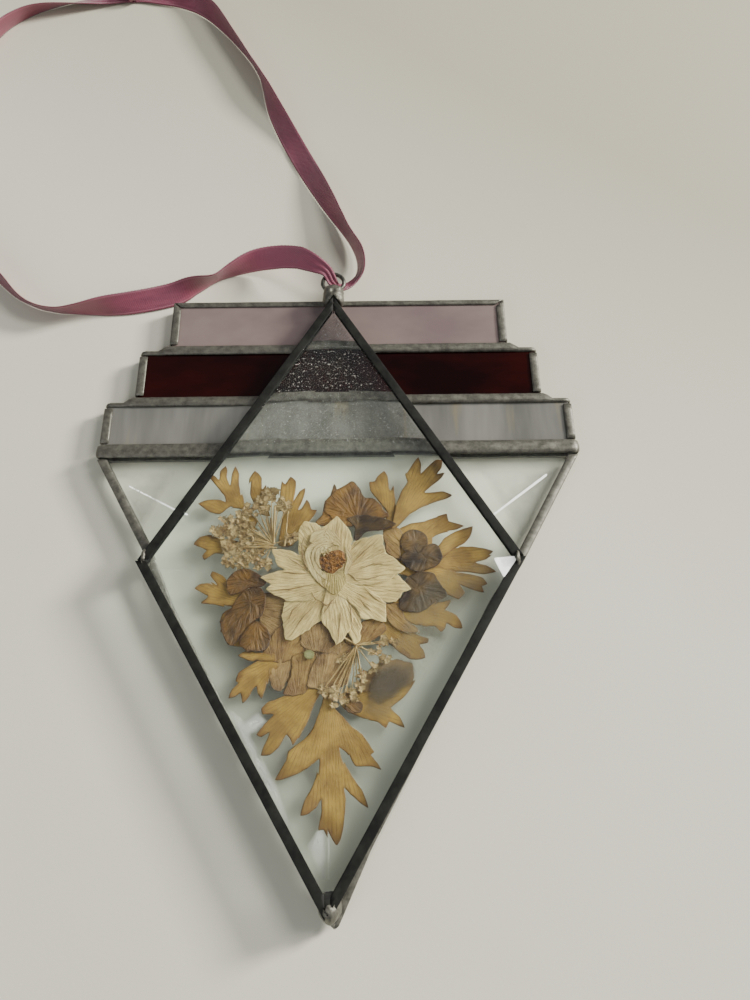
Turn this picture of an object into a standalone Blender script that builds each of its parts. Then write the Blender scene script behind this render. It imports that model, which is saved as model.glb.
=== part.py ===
"""A pressed flower hanging of bevelled glass, lying on its back.

Three coloured glass bars stand in steps on a clear bevelled triangle whose point is at the bottom.
A clear bevelled diamond lies in front of them, and dried leaves, petals and flowers lie between
the two clear panes. Each glass edge is wrapped in a dark metal edging, the panes are joined by
solder beads, and a ribbon passes through a wire ring at the top.

Units are metres. +X is to the right, +Y runs from the point up to the ring, and +Z is the way the
front glass faces. The panel is drawn with the outer tip of its triangle at (0, 0), and one parent
empty then brings the middle of the whole outline over the origin, with the back at Z = 0.
"""

import math

import bmesh
import bpy
from mathutils import Matrix, Vector

MM = 0.001

# Room left between two pieces that touch
GAP = 0.25 * MM

# Back panel: the clear triangle and the three bars on it
TRIANGLE_SIDE = 134.6 * MM
TRIANGLE_HEIGHT = TRIANGLE_SIDE * math.sqrt(3) / 2
BAR_PITCH = 17.4 * MM
BAR_HALF_WIDTHS = {"white": 66.9 * MM, "ruby": 58.7 * MM, "pink": 50.3 * MM}
BAR_THICKNESS = 3.0 * MM
BAR_BACK = 1.2 * MM
PANE_THICKNESS = 4.8 * MM
PANE_EDGE = 2.2 * MM
TRIANGLE_BEVEL = 19.0 * MM

# Front pane
DIAMOND_HALF_WIDTH = 49.4 * MM
DIAMOND_HALF_HEIGHT = 81.5 * MM
DIAMOND_CENTRE = Vector((-1.4 * MM, 84.5 * MM))
DIAMOND_BACK = 7.7 * MM
DIAMOND_BEVEL = 12.7 * MM

# Metal edging round the glass, and the solder beads between the back pieces
EDGING_WIDTH = 2.4 * MM
EDGING_WALL = 0.5 * MM
EDGING_CROWN = 0.35 * MM
BEAD_WIDTH = 3.0 * MM
WIDE_BEAD_WIDTH = 4.2 * MM
BEAD_CROWN = 0.8 * MM
GLASS_SPACING = 1.0 * MM
CROWN_STEPS = 6
BAR_BEAD_TOP = 5.4 * MM
WIDE_BEAD_TOP = 6.0 * MM
BAR_EDGING = (0.4 * MM, 4.9 * MM)
TRIANGLE_EDGING = (1.6 * MM, 5.6 * MM)
DIAMOND_EDGING = (7.1 * MM, 10.9 * MM)
MITRE_GAP = 0.15 * MM

# Hanging ring
RING_CENTRE = Vector((-1.6 * MM, 172.9 * MM, 8.0 * MM))
WIRE_RADIUS = 0.65 * MM
RING_RADIUS = 3.2 * MM

# Solder joints, each as centre and radii
JOINTS = {
    "solder_joint_left": ((-50.2, 85.4, 8.0), (2.4, 3.2, 3.6)),
    "solder_joint_right": ((47.4, 84.0, 8.0), (2.6, 3.4, 3.6)),
    "solder_joint_bottom": ((-1.0, 4.2, 6.4), (3.3, 4.6, 5.0)),
    "solder_neck": ((-1.5, 167.6, 8.2), (2.4, 3.3, 3.2)),
}

# Pressed plants: thickness of one dried layer, and the heights of the layers between the panes
LAYER_THICKNESS = 0.2 * MM
LAYER_STEP = 0.42 * MM
LOWEST_LAYER = 5.1 * MM

# Each leaf: its layer, the foot of its stalk, the half width of a lobe, and the tips of its lobes
LEAVES = {
    "leaf_upper_left": (0, (-25.1, 99.7), 1.7, ((-37.1, 101.3), (-35.0, 109.9), (-29.9, 112.2), (-27.0, 112.4))),
    "leaf_upper_mid_left": (1, (-22.5, 98.6), 1.6, ((-21.9, 110.6), (-19.0, 106.6))),
    "leaf_upper_mid": (0, (-12.3, 93.5), 1.6, ((-15.4, 107.2), (-12.6, 109.2), (-8.6, 105.4), (-7.4, 101.6))),
    "leaf_left_high": (0, (-26.0, 88.9), 1.6, ((-35.1, 85.3), (-37.2, 89.9))),
    "leaf_left_low": (0, (-24.4, 76.2), 1.7, ((-33.9, 73.8), (-36.4, 78.2), (-32.2, 82.1))),
    "leaf_upper_mid_right": (0, (14.0, 95.6), 1.6, ((8.8, 107.2), (12.5, 110.7), (15.3, 106.4))),
    "leaf_upper_right": (1, (15.6, 95.7), 2.0, ((21.6, 114.5), (28.2, 113.8), (30.6, 102.5))),
    "leaf_right": (0, (22.6, 83.8), 2.0,
                   ((28.8, 97.5), (34.4, 94.2), (39.3, 88.2), (41.0, 82.2), (37.6, 77.3), (31.1, 75.0))),
    "leaf_lower_right": (1, (18.0, 71.6), 1.8, ((29.2, 74.2), (31.3, 67.6), (26.6, 65.2), (20.8, 61.2))),
    "leaf_lower_left": (0, (-17.0, 60.4), 1.8, ((-17.8, 50.4), (-21.8, 49.5), (-25.8, 50.6), (-24.6, 61.3))),
    "leaf_bottom_left": (1, (-5.9, 52.6), 2.2, ((-9.5, 39.6), (-16.4, 37.8), (-19.0, 42.4), (-17.9, 47.4))),
}

# The largest leaf has two pairs of lobes on one stalk: the foot of the stalk, then for each lobe
# its root on the stalk, its tip, its half width, and the corners before and after it
BOTTOM_LEAF_FOOT = (-2.6, 49.6)
BOTTOM_LEAF_LOBES = (
    ((-1.6, 39.2), (-14.6, 31.6), 1.9, (-2.3, 41.0), (-2.0, 37.2)),
    ((-1.2, 32.6), (-8.4, 24.4), 1.5, (-1.8, 34.6), (-3.3, 27.6)),
    ((-1.2, 31.8), (-4.4, 20.9), 1.2, (-3.3, 27.6), (-1.5, 26.6)),
    ((-1.0, 31.8), (0.3, 17.8), 1.5, (-1.5, 26.6), (1.2, 28.0)),
    ((-0.8, 32.6), (7.2, 25.6), 1.8, (1.2, 28.0), (-0.3, 34.6)),
    ((-1.2, 39.2), (11.6, 35.0), 2.0, (-0.6, 37.2), (-1.1, 41.0)),
)

# The white flower: where its petals meet, then each petal's layer, tip and half width
FLOWER_HEART = (-0.8, 80.6)
WHITE_PETALS = (
    (4, (0.4, 97.4), 4.3), (3, (12.2, 92.0), 4.2), (4, (17.8, 83.4), 4.0), (3, (19.4, 76.4), 3.8),
    (4, (12.9, 67.8), 4.2), (3, (5.6, 62.8), 4.0), (4, (-0.6, 62.6), 3.6), (3, (-11.9, 64.2), 4.4),
    (4, (-19.2, 77.4), 4.0), (3, (-17.4, 88.6), 4.2), (2, (-8.4, 96.2), 4.2),
)

# Brown petals: layer, centre, half length, half width, heading in degrees and count of ripples
BROWN_PETALS = {
    "brown_petal_top": (2, (5.8, 100.4), 9.4, 5.0, -42.0, 7),
    "brown_petal_right": (2, (22.0, 88.6), 5.6, 4.2, -58.0, 5),
    "brown_petal_lower_right": (2, (21.4, 76.0), 6.6, 4.0, 38.0, 6),
    "brown_petal_left": (3, (-23.2, 77.9), 5.2, 3.6, 22.0, 5),
    "brown_petal_lower_left": (2, (-22.4, 69.2), 6.8, 4.4, 62.0, 6),
}

# Flower umbels: layer, where the stalks meet, radius of a floret and the places of the florets
UMBELS = {
    "umbel_left": (2, (-14.8, 88.2), 2.0,
                   ((-13.2, 99.2), (-17.8, 103.0), (-22.6, 99.6), (-27.2, 97.6), (-29.8, 93.2),
                    (-29.4, 88.4), (-26.4, 84.2), (-19.6, 82.6))),
    "umbel_bottom": (2, (4.6, 63.8), 1.9,
                     ((11.4, 59.6), (10.6, 54.8), (6.2, 52.6), (1.4, 49.6), (-2.8, 52.6), (-3.4, 59.0))),
}

# Ribbon: width and thickness, and the same where it is gathered to pass the ring or the knot
RIBBON_WIDTH = 7.0 * MM
RIBBON_THICKNESS = 0.4 * MM
GATHER_WIDTH = 3.0 * MM
GATHER_THICKNESS = 0.9 * MM
RIBBON_STEPS = 4

# Route of the ribbon's middle line, from the ring along its left strand and back to the ring:
# X, Y and Z in mm, the lean of its width from the level in degrees, and how far it is gathered
RIBBON_ROUTE = (
    (-1.7, 173.2, 8.0, -6, 1.0),
    (-3.4, 175.7, 9.8, -14, 0.9),
    (-6.6, 178.2, 9.9, -30, 0.5),
    (-11.4, 181.2, 9.4, -42, 0.1),
    (-18.4, 184.0, 8.6, -40, 0.0),
    (-26.1, 184.4, 7.6, -62, 0.0),
    (-33.7, 181.9, 6.6, -94, 0.0),
    (-39.0, 178.8, 5.6, -108, 0.0),
    (-44.7, 176.3, 5.2, -80, 0.0),
    (-51.8, 173.4, 5.2, -44, 0.0),
    (-66.1, 169.9, 5.4, -54, 0.0),
    (-80.1, 167.7, 6.0, -100, 0.0),
    (-88.0, 167.8, 6.2, -112, 0.0),
    (-95.8, 170.8, 6.0, -104, 0.0),
    (-104.6, 178.6, 5.6, -80, 0.0),
    (-122.0, 198.0, 4.8, -82, 0.0),
    (-131.0, 219.0, 4.4, -84, 0.0),
    (-135.0, 243.0, 4.4, -84, 0.0),
    (-134.0, 270.0, 4.6, -84, 0.0),
    (-130.0, 286.0, 4.6, -80, 0.0),
    (-124.4, 297.4, 4.8, -72, 0.0),
    (-115.6, 305.0, 4.8, -60, 0.0),
    (-103.6, 309.6, 4.2, -36, 0.0),
    (-90.0, 313.2, 3.4, -10, 0.4),
    (-80.0, 314.4, 3.0, 0, 1.0),
    (-70.0, 314.0, 3.4, 20, 0.4),
    (-59.0, 311.4, 4.2, 40, 0.0),
    (-49.4, 304.0, 4.8, 62, 0.0),
    (-39.6, 289.4, 5.6, 92, 0.0),
    (-30.4, 272.4, 6.0, 100, 0.0),
    (-22.8, 251.8, 5.4, 50, 0.0),
    (-14.0, 232.1, 4.8, 22, 0.0),
    (-5.5, 213.5, 4.8, 50, 0.0),
    (2.3, 196.7, 5.2, 84, 0.0),
    (6.4, 186.4, 5.6, 76, 0.0),
    (6.6, 179.4, 5.4, 60, 0.3),
    (3.9, 175.0, 5.1, 34, 0.8),
    (0.6, 173.0, 5.7, 6, 1.0),
)

# Knot that closes the ribbon's loop
KNOT_CENTRE = (-80.0, 314.4, 3.0)
KNOT_RADII = (3.4, 3.0, 2.7)
KNOT_TAIL = ((-81.6, 316.4, 2.6), (-87.0, 322.6, 1.6), (-95.0, 327.0, 1.2))
KNOT_OTHER_TAIL = ((-78.4, 316.4, 2.6), (-73.0, 323.0, 1.6), (-68.0, 330.0, 1.2))
TAIL_WIDTH = 6.0 * MM

# Colours, roughness and metallic value of each finish
FINISHES = {
    "clear_glass": ((0.86, 0.90, 0.87), 0.05, 0.0, 1.0),
    "pink_opal_glass": ((0.72, 0.62, 0.66), 0.18, 0.0, 0.2),
    "ruby_glass": ((0.10, 0.01, 0.012), 0.06, 0.0, 0.6),
    "wispy_glass": ((0.78, 0.78, 0.76), 0.14, 0.0, 0.5),
    "solder": ((0.26, 0.26, 0.25), 0.42, 1.0, 0.0),
    "dark_edging": ((0.045, 0.046, 0.04), 0.45, 1.0, 0.0),
    "ring_wire": ((0.20, 0.20, 0.19), 0.40, 1.0, 0.0),
    "ribbon_satin": ((0.42, 0.10, 0.20), 0.42, 0.0, 0.0),
    "dried_leaf": ((0.52, 0.33, 0.11), 0.70, 0.0, 0.0),
    "white_petal": ((0.72, 0.66, 0.52), 0.65, 0.0, 0.0),
    "flower_heart": ((0.28, 0.12, 0.03), 0.75, 0.0, 0.0),
    "brown_petal": ((0.24, 0.10, 0.03), 0.60, 0.0, 0.0),
    "umbel": ((0.56, 0.42, 0.25), 0.75, 0.0, 0.0),
}


def clear_scene():
    """Remove every object that the file opened with."""
    for thing in list(bpy.data.objects):
        bpy.data.objects.remove(thing, do_unlink=True)


def make_finishes():
    """Return one Principled material for each finish."""
    made = {}
    for name, (colour, roughness, metallic, transmission) in FINISHES.items():
        material = bpy.data.materials.new(name)
        material.use_nodes = True
        shader = material.node_tree.nodes["Principled BSDF"]
        shader.inputs["Base Color"].default_value = (*colour, 1.0)
        shader.inputs["Roughness"].default_value = roughness
        shader.inputs["Metallic"].default_value = metallic
        shader.inputs["Transmission Weight"].default_value = transmission
        made[name] = material
    return made


def add_solid(name, bm, finish, parent, smooth=False):
    """Turn a bmesh into a named object with its faces pointing out."""
    bmesh.ops.recalc_face_normals(bm, faces=bm.faces)
    mesh = bpy.data.meshes.new(name)
    bm.to_mesh(mesh)
    bm.free()
    if smooth:
        mesh.shade_smooth()
        mesh.set_sharp_from_angle(angle=math.radians(40))
    thing = bpy.data.objects.new(name, mesh)
    if finish is not None:
        mesh.materials.append(finish)
    thing.parent = parent
    bpy.context.scene.collection.objects.link(thing)
    return thing


def make_cutter(name, bm, parent):
    """Turn a bmesh into a hidden object that only cuts others."""
    cutter = add_solid(name, bm, None, parent)
    cutter.hide_render = True
    cutter.display_type = "WIRE"
    return cutter


def cut(target, cutters):
    """Take the room of each cutter out of the target."""
    for cutter in cutters:
        modifier = target.modifiers.new("cut_" + cutter.name, "BOOLEAN")
        modifier.operation = "DIFFERENCE"
        modifier.solver = "EXACT"
        modifier.object = cutter


def offset_outline(outline, distance):
    """Move each side of a convex, counter-clockwise outline inwards; outwards if negative."""
    moved = []
    count = len(outline)
    for index in range(count):
        before = Vector(outline[index - 1])
        corner = Vector(outline[index])
        after = Vector(outline[(index + 1) % count])
        side_in = (corner - before).normalized()
        side_out = (after - corner).normalized()
        normal_in = Vector((-side_in.y, side_in.x))
        normal_out = Vector((-side_out.y, side_out.x))
        mitre = (normal_in + normal_out) / (1.0 + normal_in.dot(normal_out))
        moved.append(corner + mitre * distance)
    return moved


def prism(outline, bottom, top):
    """Return a bmesh of the outline's area between two heights."""
    bm = bmesh.new()
    floor = bm.faces.new([bm.verts.new((x, y, bottom)) for x, y in outline])
    lifted = bmesh.ops.extrude_face_region(bm, geom=[floor])["geom"]
    raised = [item for item in lifted if isinstance(item, bmesh.types.BMVert)]
    bmesh.ops.translate(bm, verts=raised, vec=(0.0, 0.0, top - bottom))
    return bm


def bevelled_pane(outline, edge_flat, edge_bevelled, bevel, rise):
    """Return a bmesh of a pane whose bevelled face slopes in from its edge on all sides."""
    bm = prism(outline, min(edge_flat, edge_bevelled), max(edge_flat, edge_bevelled))
    bmesh.ops.recalc_face_normals(bm, faces=bm.faces)
    facing = 1.0 if edge_bevelled > edge_flat else -1.0
    face = max(bm.faces, key=lambda item: item.normal.z * facing)
    bmesh.ops.inset_region(bm, faces=[face], thickness=bevel, depth=rise, use_even_offset=True)
    return bm


def crowned_section(width, low, high, crown):
    """Return an edging's section as (inward, height) points, with a rounded front and back."""
    points = []
    for index in range(CROWN_STEPS + 1):
        turn = math.pi * index / CROWN_STEPS
        inward = width / 2 * (1 - math.cos(turn))
        points.append((inward, high - crown + crown * math.sin(turn)))
    for index in range(CROWN_STEPS + 1):
        turn = math.pi * index / CROWN_STEPS
        inward = width / 2 * (1 + math.cos(turn))
        points.append((inward, low + crown - crown * math.sin(turn)))
    return points


def edging(section, start, end, mitre_start, mitre_end, gap=MITRE_GAP):
    """Return a bmesh of a straight strip between two outer corners, cut along a mitre at each.

    The strip lies to the left of the way from start to end. A mitre is the step along the cut
    for one unit inwards.
    """
    along = (Vector(end) - Vector(start)).normalized()
    first = Vector(start) + along * gap
    last = Vector(end) - along * gap
    bm = bmesh.new()
    corners = []
    for inward, height in section:
        place = first + Vector(mitre_start) * inward
        corners.append(bm.verts.new((place.x, place.y, height)))
    cap = bm.faces.new(corners)
    lifted = bmesh.ops.extrude_face_region(bm, geom=[cap])["geom"]
    moved = [item for item in lifted if isinstance(item, bmesh.types.BMVert)]
    inward_way = Vector((-along.y, along.x))
    for vert in moved:
        depth = (Vector(vert.co.xy) - first).dot(inward_way)
        place = last + Vector(mitre_end) * depth
        vert.co.x = place.x
        vert.co.y = place.y
    return bm


def bead(centre_y, half_length, width, low, high):
    """Return a bmesh of a solder bead along X, with rounded ends."""
    section = crowned_section(width, low, high, BEAD_CROWN)
    middle = (low + high) / 2
    stations = ((-1.0, 0.0, 0.5), (-1.0, 0.6 * MM, 0.86), (-1.0, 1.6 * MM, 1.0),
                (1.0, 1.6 * MM, 1.0), (1.0, 0.6 * MM, 0.86), (1.0, 0.0, 0.5))
    bm = bmesh.new()
    previous = None
    first = None
    for side, pulled_in, size in stations:
        x = side * (half_length - pulled_in)
        loop = [bm.verts.new((x, centre_y + (inward - width / 2) * size, middle + (height - middle) * size))
                for inward, height in section]
        if previous is None:
            first = loop
        else:
            for index in range(len(loop)):
                bm.faces.new((previous[index - 1], previous[index], loop[index], loop[index - 1]))
        previous = loop
    bm.faces.new(first)
    bm.faces.new(previous)
    return bm


def blob(centre, radii):
    """Return a bmesh of a rounded lump."""
    bm = bmesh.new()
    bmesh.ops.create_uvsphere(bm, u_segments=20, v_segments=12, radius=1.0)
    bmesh.ops.scale(bm, vec=Vector(radii) * MM, verts=bm.verts)
    bmesh.ops.translate(bm, vec=Vector(centre) * MM, verts=bm.verts)
    return bm


def curved_side(start, end, bulge, steps):
    """Return points from start up to, but not at, end, on a curve that bows to the right."""
    way = end - start
    right = Vector((way.y, -way.x))
    middle = (start + end) / 2 + right * bulge
    points = []
    for index in range(steps):
        t = index / steps
        points.append(start * (1 - t) ** 2 + middle * 2 * t * (1 - t) + end * t ** 2)
    return points


def leaf_outline(foot, tips, half_width):
    """Return the outline of a lobed leaf, whose lobes fan out from the foot of its stalk."""
    foot = Vector(foot)
    tips = sorted((Vector(tip) for tip in tips), key=lambda tip: lobe_angle(foot, tips, tip))
    middle = sum((tip - foot for tip in tips), Vector((0.0, 0.0))).normalized()
    across = Vector((-middle.y, middle.x))
    notches = [foot - middle * 0.6 - across * 0.45]
    for right_tip, left_tip in zip(tips, tips[1:]):
        way = ((right_tip - foot).normalized() + (left_tip - foot).normalized()).normalized()
        notches.append(foot + way * 0.48 * min((right_tip - foot).length, (left_tip - foot).length))
    notches.append(foot - middle * 0.6 + across * 0.45)
    points = []
    for index, tip in enumerate(tips):
        room = lobe_room(foot, tips, index)
        width = min(half_width, room * (tip - foot).length * 0.62)
        points += lobe(foot, tip, width, notches[index], notches[index + 1])
    points.append(notches[-1])
    return points


def lobe(root, tip, half_width, before, after):
    """Return a lobe's outline from the corner before it, round its tip, up to the corner after it."""
    reach = tip - root
    side = Vector((reach.y, -reach.x)).normalized()
    right_shoulder = root + reach * 0.66 + side * half_width
    left_shoulder = root + reach * 0.66 - side * half_width
    points = curved_side(before, right_shoulder, -0.04, 2)
    points += curved_side(right_shoulder, tip, 0.12, 3)
    points += curved_side(tip, left_shoulder, 0.12, 3)
    points += curved_side(left_shoulder, after, -0.04, 2)
    return points


def stalked_outline(foot, lobes):
    """Return the outline of a leaf whose lobes stand in pairs along a stalk."""
    foot = Vector(foot)
    points = [foot + Vector((-0.45, 0.0))]
    for root, tip, half_width, before, after in lobes:
        points += lobe(Vector(root), Vector(tip), half_width, Vector(before), Vector(after))
        points.append(Vector(after))
    points.append(foot + Vector((0.45, 0.0)))
    kept = []
    for point in points:
        if not kept or (point - kept[-1]).length > 0.01:
            kept.append(point)
    return kept


def lobe_angle(foot, tips, tip):
    """Return a tip's angle about the foot, counted from the middle of the leaf."""
    middle = sum((Vector(other) - foot for other in tips), Vector((0.0, 0.0)))
    return -middle.angle_signed(Vector(tip) - foot)


def lobe_room(foot, tips, index):
    """Return the tangent of half the smallest angle between a lobe and its neighbours."""
    own = tips[index] - foot
    beside = [tips[other] - foot for other in (index - 1, index + 1) if 0 <= other < len(tips)]
    nearest = min((own.angle(way) for way in beside), default=math.pi / 2)
    return math.tan(min(nearest, math.pi / 2) / 2) * 0.9


def petal_outline(foot, tip, half_width):
    """Return the outline of a pointed petal, narrow at its foot."""
    foot = Vector(foot)
    tip = Vector(tip)
    reach = tip - foot
    side = Vector((reach.y, -reach.x)).normalized()
    start = foot + reach * 0.14
    right = foot + reach * 0.60 + side * half_width
    left = foot + reach * 0.60 - side * half_width
    points = curved_side(start + side * 0.5, right, 0.10, 3)
    points += curved_side(right, tip, 0.10, 3)
    points += curved_side(tip, left, 0.10, 3)
    points += curved_side(left, start - side * 0.5, 0.10, 3)
    points.append(start - side * 0.5)
    return points


def rippled_outline(centre, half_length, half_width, heading, ripples):
    """Return the outline of a crumpled petal: an oval with a rippled rim."""
    turn = Matrix.Rotation(math.radians(heading), 2)
    points = []
    steps = 36
    for index in range(steps):
        angle = 2 * math.pi * index / steps
        ripple = 1 + 0.07 * math.sin(ripples * angle) + 0.04 * math.sin((ripples + 4) * angle + 1.0)
        oval = Vector((half_length * math.cos(angle), half_width * math.sin(angle))) * ripple
        points.append(Vector(centre) + turn @ oval)
    return points


def umbel_outline(foot, florets, radius):
    """Return the outline of thin stalks that each end in a round floret."""
    foot = Vector(foot)
    ways = [Vector(floret) - foot for floret in florets]
    middle = sum(ways, Vector((0.0, 0.0)))
    ways.sort(key=lambda way: -middle.angle_signed(way))
    points = [foot - middle.normalized() * 0.8]
    for way in ways:
        side = Vector((way.y, -way.x)).normalized()
        ahead = way.normalized()
        points.append(foot + ahead * 3.4 + side * 0.28)
        for index in range(9):
            turn = math.radians(-160 + 40 * index)
            points.append(foot + way + ahead * radius * math.cos(turn) - side * radius * math.sin(turn))
        points.append(foot + ahead * 3.4 - side * 0.28)
    return points


def smooth_route(points, steps, closed=False):
    """Return points on a smooth curve through the route's points."""
    count = len(points)
    route = []
    for index in range(count if closed else count - 1):
        picks = (index - 1, index, index + 1, index + 2)
        if closed:
            near = [points[pick % count] for pick in picks]
        else:
            near = [points[min(max(pick, 0), count - 1)] for pick in picks]
        for step in range(steps):
            t = step / steps
            route.append([
                0.5 * (2 * b + (c - a) * t + (2 * a - 5 * b + 4 * c - d) * t ** 2
                       + (3 * b - a - 3 * c + d) * t ** 3)
                for a, b, c, d in zip(*near)])
    if not closed:
        route.append(list(points[-1]))
    return route


def band(route, closed):
    """Return a bmesh of a flat band; a station is X, Y, Z, lean in degrees, width and thickness.

    Its faces are triangles, because a four-sided face isn't flat where the band twists, and both
    of its wide faces are split the same way, so they stay apart.
    """
    bm = bmesh.new()
    loops = []
    count = len(route)
    for index, (x, y, z, lean, width, thickness) in enumerate(route):
        before = route[index - 1] if closed or index else route[0]
        after = route[(index + 1) % count] if closed or index + 1 < count else route[-1]
        ahead = (Vector(after[:3]) - Vector(before[:3])).normalized()
        level = ahead.cross(Vector((0.0, 0.0, 1.0))).normalized()
        side = Matrix.Rotation(math.radians(lean), 3, ahead) @ level
        up = side.cross(ahead)
        place = Vector((x, y, z))
        loops.append([bm.verts.new(place + side * width / 2 * a + up * thickness / 2 * b)
                      for a, b in ((1, 1), (-1, 1), (-1, -1), (1, -1))])
    pairs = list(zip(loops, loops[1:]))
    if closed:
        pairs.append((loops[-1], loops[0]))
    for one, other in pairs:
        for index in range(4):
            quad = [one[index - 1], one[index], other[index], other[index - 1]]
            if index == 3:
                quad = quad[1:] + quad[:1]
            bm.faces.new((quad[0], quad[1], quad[2]))
            bm.faces.new((quad[0], quad[2], quad[3]))
    if not closed:
        bm.faces.new(loops[0])
        bm.faces.new(loops[-1])
    return bm


def in_millimetres(outline):
    """Return an outline that was drawn in mm, in metres."""
    return [Vector(point) * MM for point in outline]


def seam_heights():
    """Return the Y of each bead's middle line, from the triangle up."""
    clear = TRIANGLE_HEIGHT + 1.7 * MM
    white = TRIANGLE_HEIGHT + BAR_PITCH + 0.2 * MM
    ruby = white + BAR_PITCH
    return clear, white, ruby


def bar_outlines():
    """Return the outline of each bar's glass."""
    clear, white, ruby = seam_heights()
    half = GLASS_SPACING / 2
    inset = EDGING_WALL + GAP
    top = TRIANGLE_HEIGHT + 3 * BAR_PITCH
    spans = {"white": (clear + half, white - half), "ruby": (white + half, ruby - half),
             "pink": (ruby + half, top - inset)}
    outlines = {}
    for name, (low, high) in spans.items():
        reach = BAR_HALF_WIDTHS[name] - inset
        outlines[name] = [(-reach, low), (reach, low), (reach, high), (-reach, high)]
    return outlines


def outer_triangle():
    """Return the outline of the triangle with its edging."""
    return [(0.0, 0.0), (TRIANGLE_SIDE / 2, TRIANGLE_HEIGHT), (-TRIANGLE_SIDE / 2, TRIANGLE_HEIGHT)]


def triangle_outline():
    """Return the outline of the clear triangle's glass."""
    clear = seam_heights()[0]
    inset = (EDGING_WALL + GAP) * 2
    top = clear - GLASS_SPACING / 2
    reach = (top - inset) / math.sqrt(3)
    return [(0.0, inset), (reach, top), (-reach, top)]


def outer_diamond():
    """Return the outline of the diamond with its edging."""
    centre = DIAMOND_CENTRE
    return [centre + Vector(corner) for corner in (
        (0.0, -DIAMOND_HALF_HEIGHT), (DIAMOND_HALF_WIDTH, 0.0),
        (0.0, DIAMOND_HALF_HEIGHT), (-DIAMOND_HALF_WIDTH, 0.0))]


def make_glass(finishes, parent):
    """Make the five pieces of glass, and a cutter with room to spare for each."""
    outlines = bar_outlines()
    for name, node, finish in (("pink", "pink_opal_bar", "pink_opal_glass"),
                               ("ruby", "ruby_glass_bar", "ruby_glass"),
                               ("white", "wispy_white_bar", "wispy_glass")):
        add_solid(node, prism(outlines[name], BAR_BACK, BAR_BACK + BAR_THICKNESS), finishes[finish], parent)
    rise = PANE_THICKNESS - PANE_EDGE
    add_solid("back_triangle_glass",
              bevelled_pane(triangle_outline(), PANE_THICKNESS, rise, TRIANGLE_BEVEL, rise),
              finishes["clear_glass"], parent)
    inset = EDGING_WALL + GAP
    diamond = offset_outline(outer_diamond(), inset)
    add_solid("front_diamond_glass",
              bevelled_pane(diamond, DIAMOND_BACK, DIAMOND_BACK + PANE_EDGE, DIAMOND_BEVEL, rise),
              finishes["clear_glass"], parent)
    cutters = {}
    for name, outline in outlines.items():
        room = prism(offset_outline(outline, -GAP), BAR_BACK - GAP, BAR_BACK + BAR_THICKNESS + GAP)
        cutters[name] = make_cutter("room_" + name, room, parent)
    lap = EDGING_WIDTH - inset
    slope = rise / TRIANGLE_BEVEL * lap
    room = prism(offset_outline(triangle_outline(), -GAP), rise - slope - GAP, PANE_THICKNESS + GAP)
    cutters["triangle"] = make_cutter("room_triangle", room, parent)
    slope = rise / DIAMOND_BEVEL * lap
    room = prism(offset_outline(diamond, -GAP), DIAMOND_BACK - GAP, DIAMOND_BACK + PANE_EDGE + slope + GAP)
    cutters["diamond"] = make_cutter("room_diamond", room, parent)
    return cutters


def make_beads(finishes, parent, cutters):
    """Make the three solder beads that join the back pieces."""
    clear, white, ruby = seam_heights()
    rows = (
        ("bead_white_to_triangle", clear, TRIANGLE_SIDE / 2 + 0.3 * MM, WIDE_BEAD_WIDTH, WIDE_BEAD_TOP,
         ("white", "triangle")),
        ("bead_ruby_to_white", white, BAR_HALF_WIDTHS["white"], BEAD_WIDTH, BAR_BEAD_TOP, ("ruby", "white")),
        ("bead_pink_to_ruby", ruby, BAR_HALF_WIDTHS["ruby"], BEAD_WIDTH, BAR_BEAD_TOP, ("pink", "ruby")),
    )
    for name, centre_y, half_length, width, top, sides in rows:
        solid = add_solid(name, bead(centre_y, half_length, width, 0.0, top), finishes["solder"], parent, True)
        cut(solid, [cutters[side] for side in sides])


def back_edging_runs():
    """Return each strip of the back panel's edging: its ends, mitres, heights and glass."""
    clear, white, ruby = seam_heights()
    top = TRIANGLE_HEIGHT + 3 * BAR_PITCH
    gap = 2 * GAP
    rows = []
    spans = {"white": (clear + WIDE_BEAD_WIDTH / 2 + gap, white - BEAD_WIDTH / 2 - gap),
             "ruby": (white + BEAD_WIDTH / 2 + gap, ruby - BEAD_WIDTH / 2 - gap),
             "pink": (ruby + BEAD_WIDTH / 2 + gap, top)}
    for name, (low, high) in spans.items():
        reach = BAR_HALF_WIDTHS[name]
        upper = (-1.0, -1.0) if name == "pink" else (-1.0, 0.0)
        rows.append((name + "_edging_right", (reach, low), (reach, high), (-1.0, 0.0), upper, name))
        upper = (1.0, -1.0) if name == "pink" else (1.0, 0.0)
        rows.append((name + "_edging_left", (-reach, high), (-reach, low), upper, (1.0, 0.0), name))
    reach = BAR_HALF_WIDTHS["pink"]
    rows.append(("pink_edging_top", (reach, top), (-reach, top), (-1.0, -1.0), (1.0, -1.0), "pink"))
    side_top = clear - WIDE_BEAD_WIDTH / 2 - gap
    out = side_top / math.sqrt(3)
    level = 2 / math.sqrt(3)
    rows.append(("triangle_edging_right", (0.0, 0.0), (out, side_top), (0.0, 2.0), (-level, 0.0), "triangle"))
    rows.append(("triangle_edging_left", (-out, side_top), (0.0, 0.0), (level, 0.0), (0.0, 2.0), "triangle"))
    return rows


def make_back_edging(finishes, parent, cutters):
    """Make the strips of edging round the back panel."""
    for name, start, end, mitre_start, mitre_end, glass in back_edging_runs():
        low, high = TRIANGLE_EDGING if glass == "triangle" else BAR_EDGING
        section = crowned_section(EDGING_WIDTH, low, high, EDGING_CROWN)
        solid = add_solid(name, edging(section, start, end, mitre_start, mitre_end),
                          finishes["solder"], parent, True)
        cut(solid, [cutters[glass]])


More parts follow.
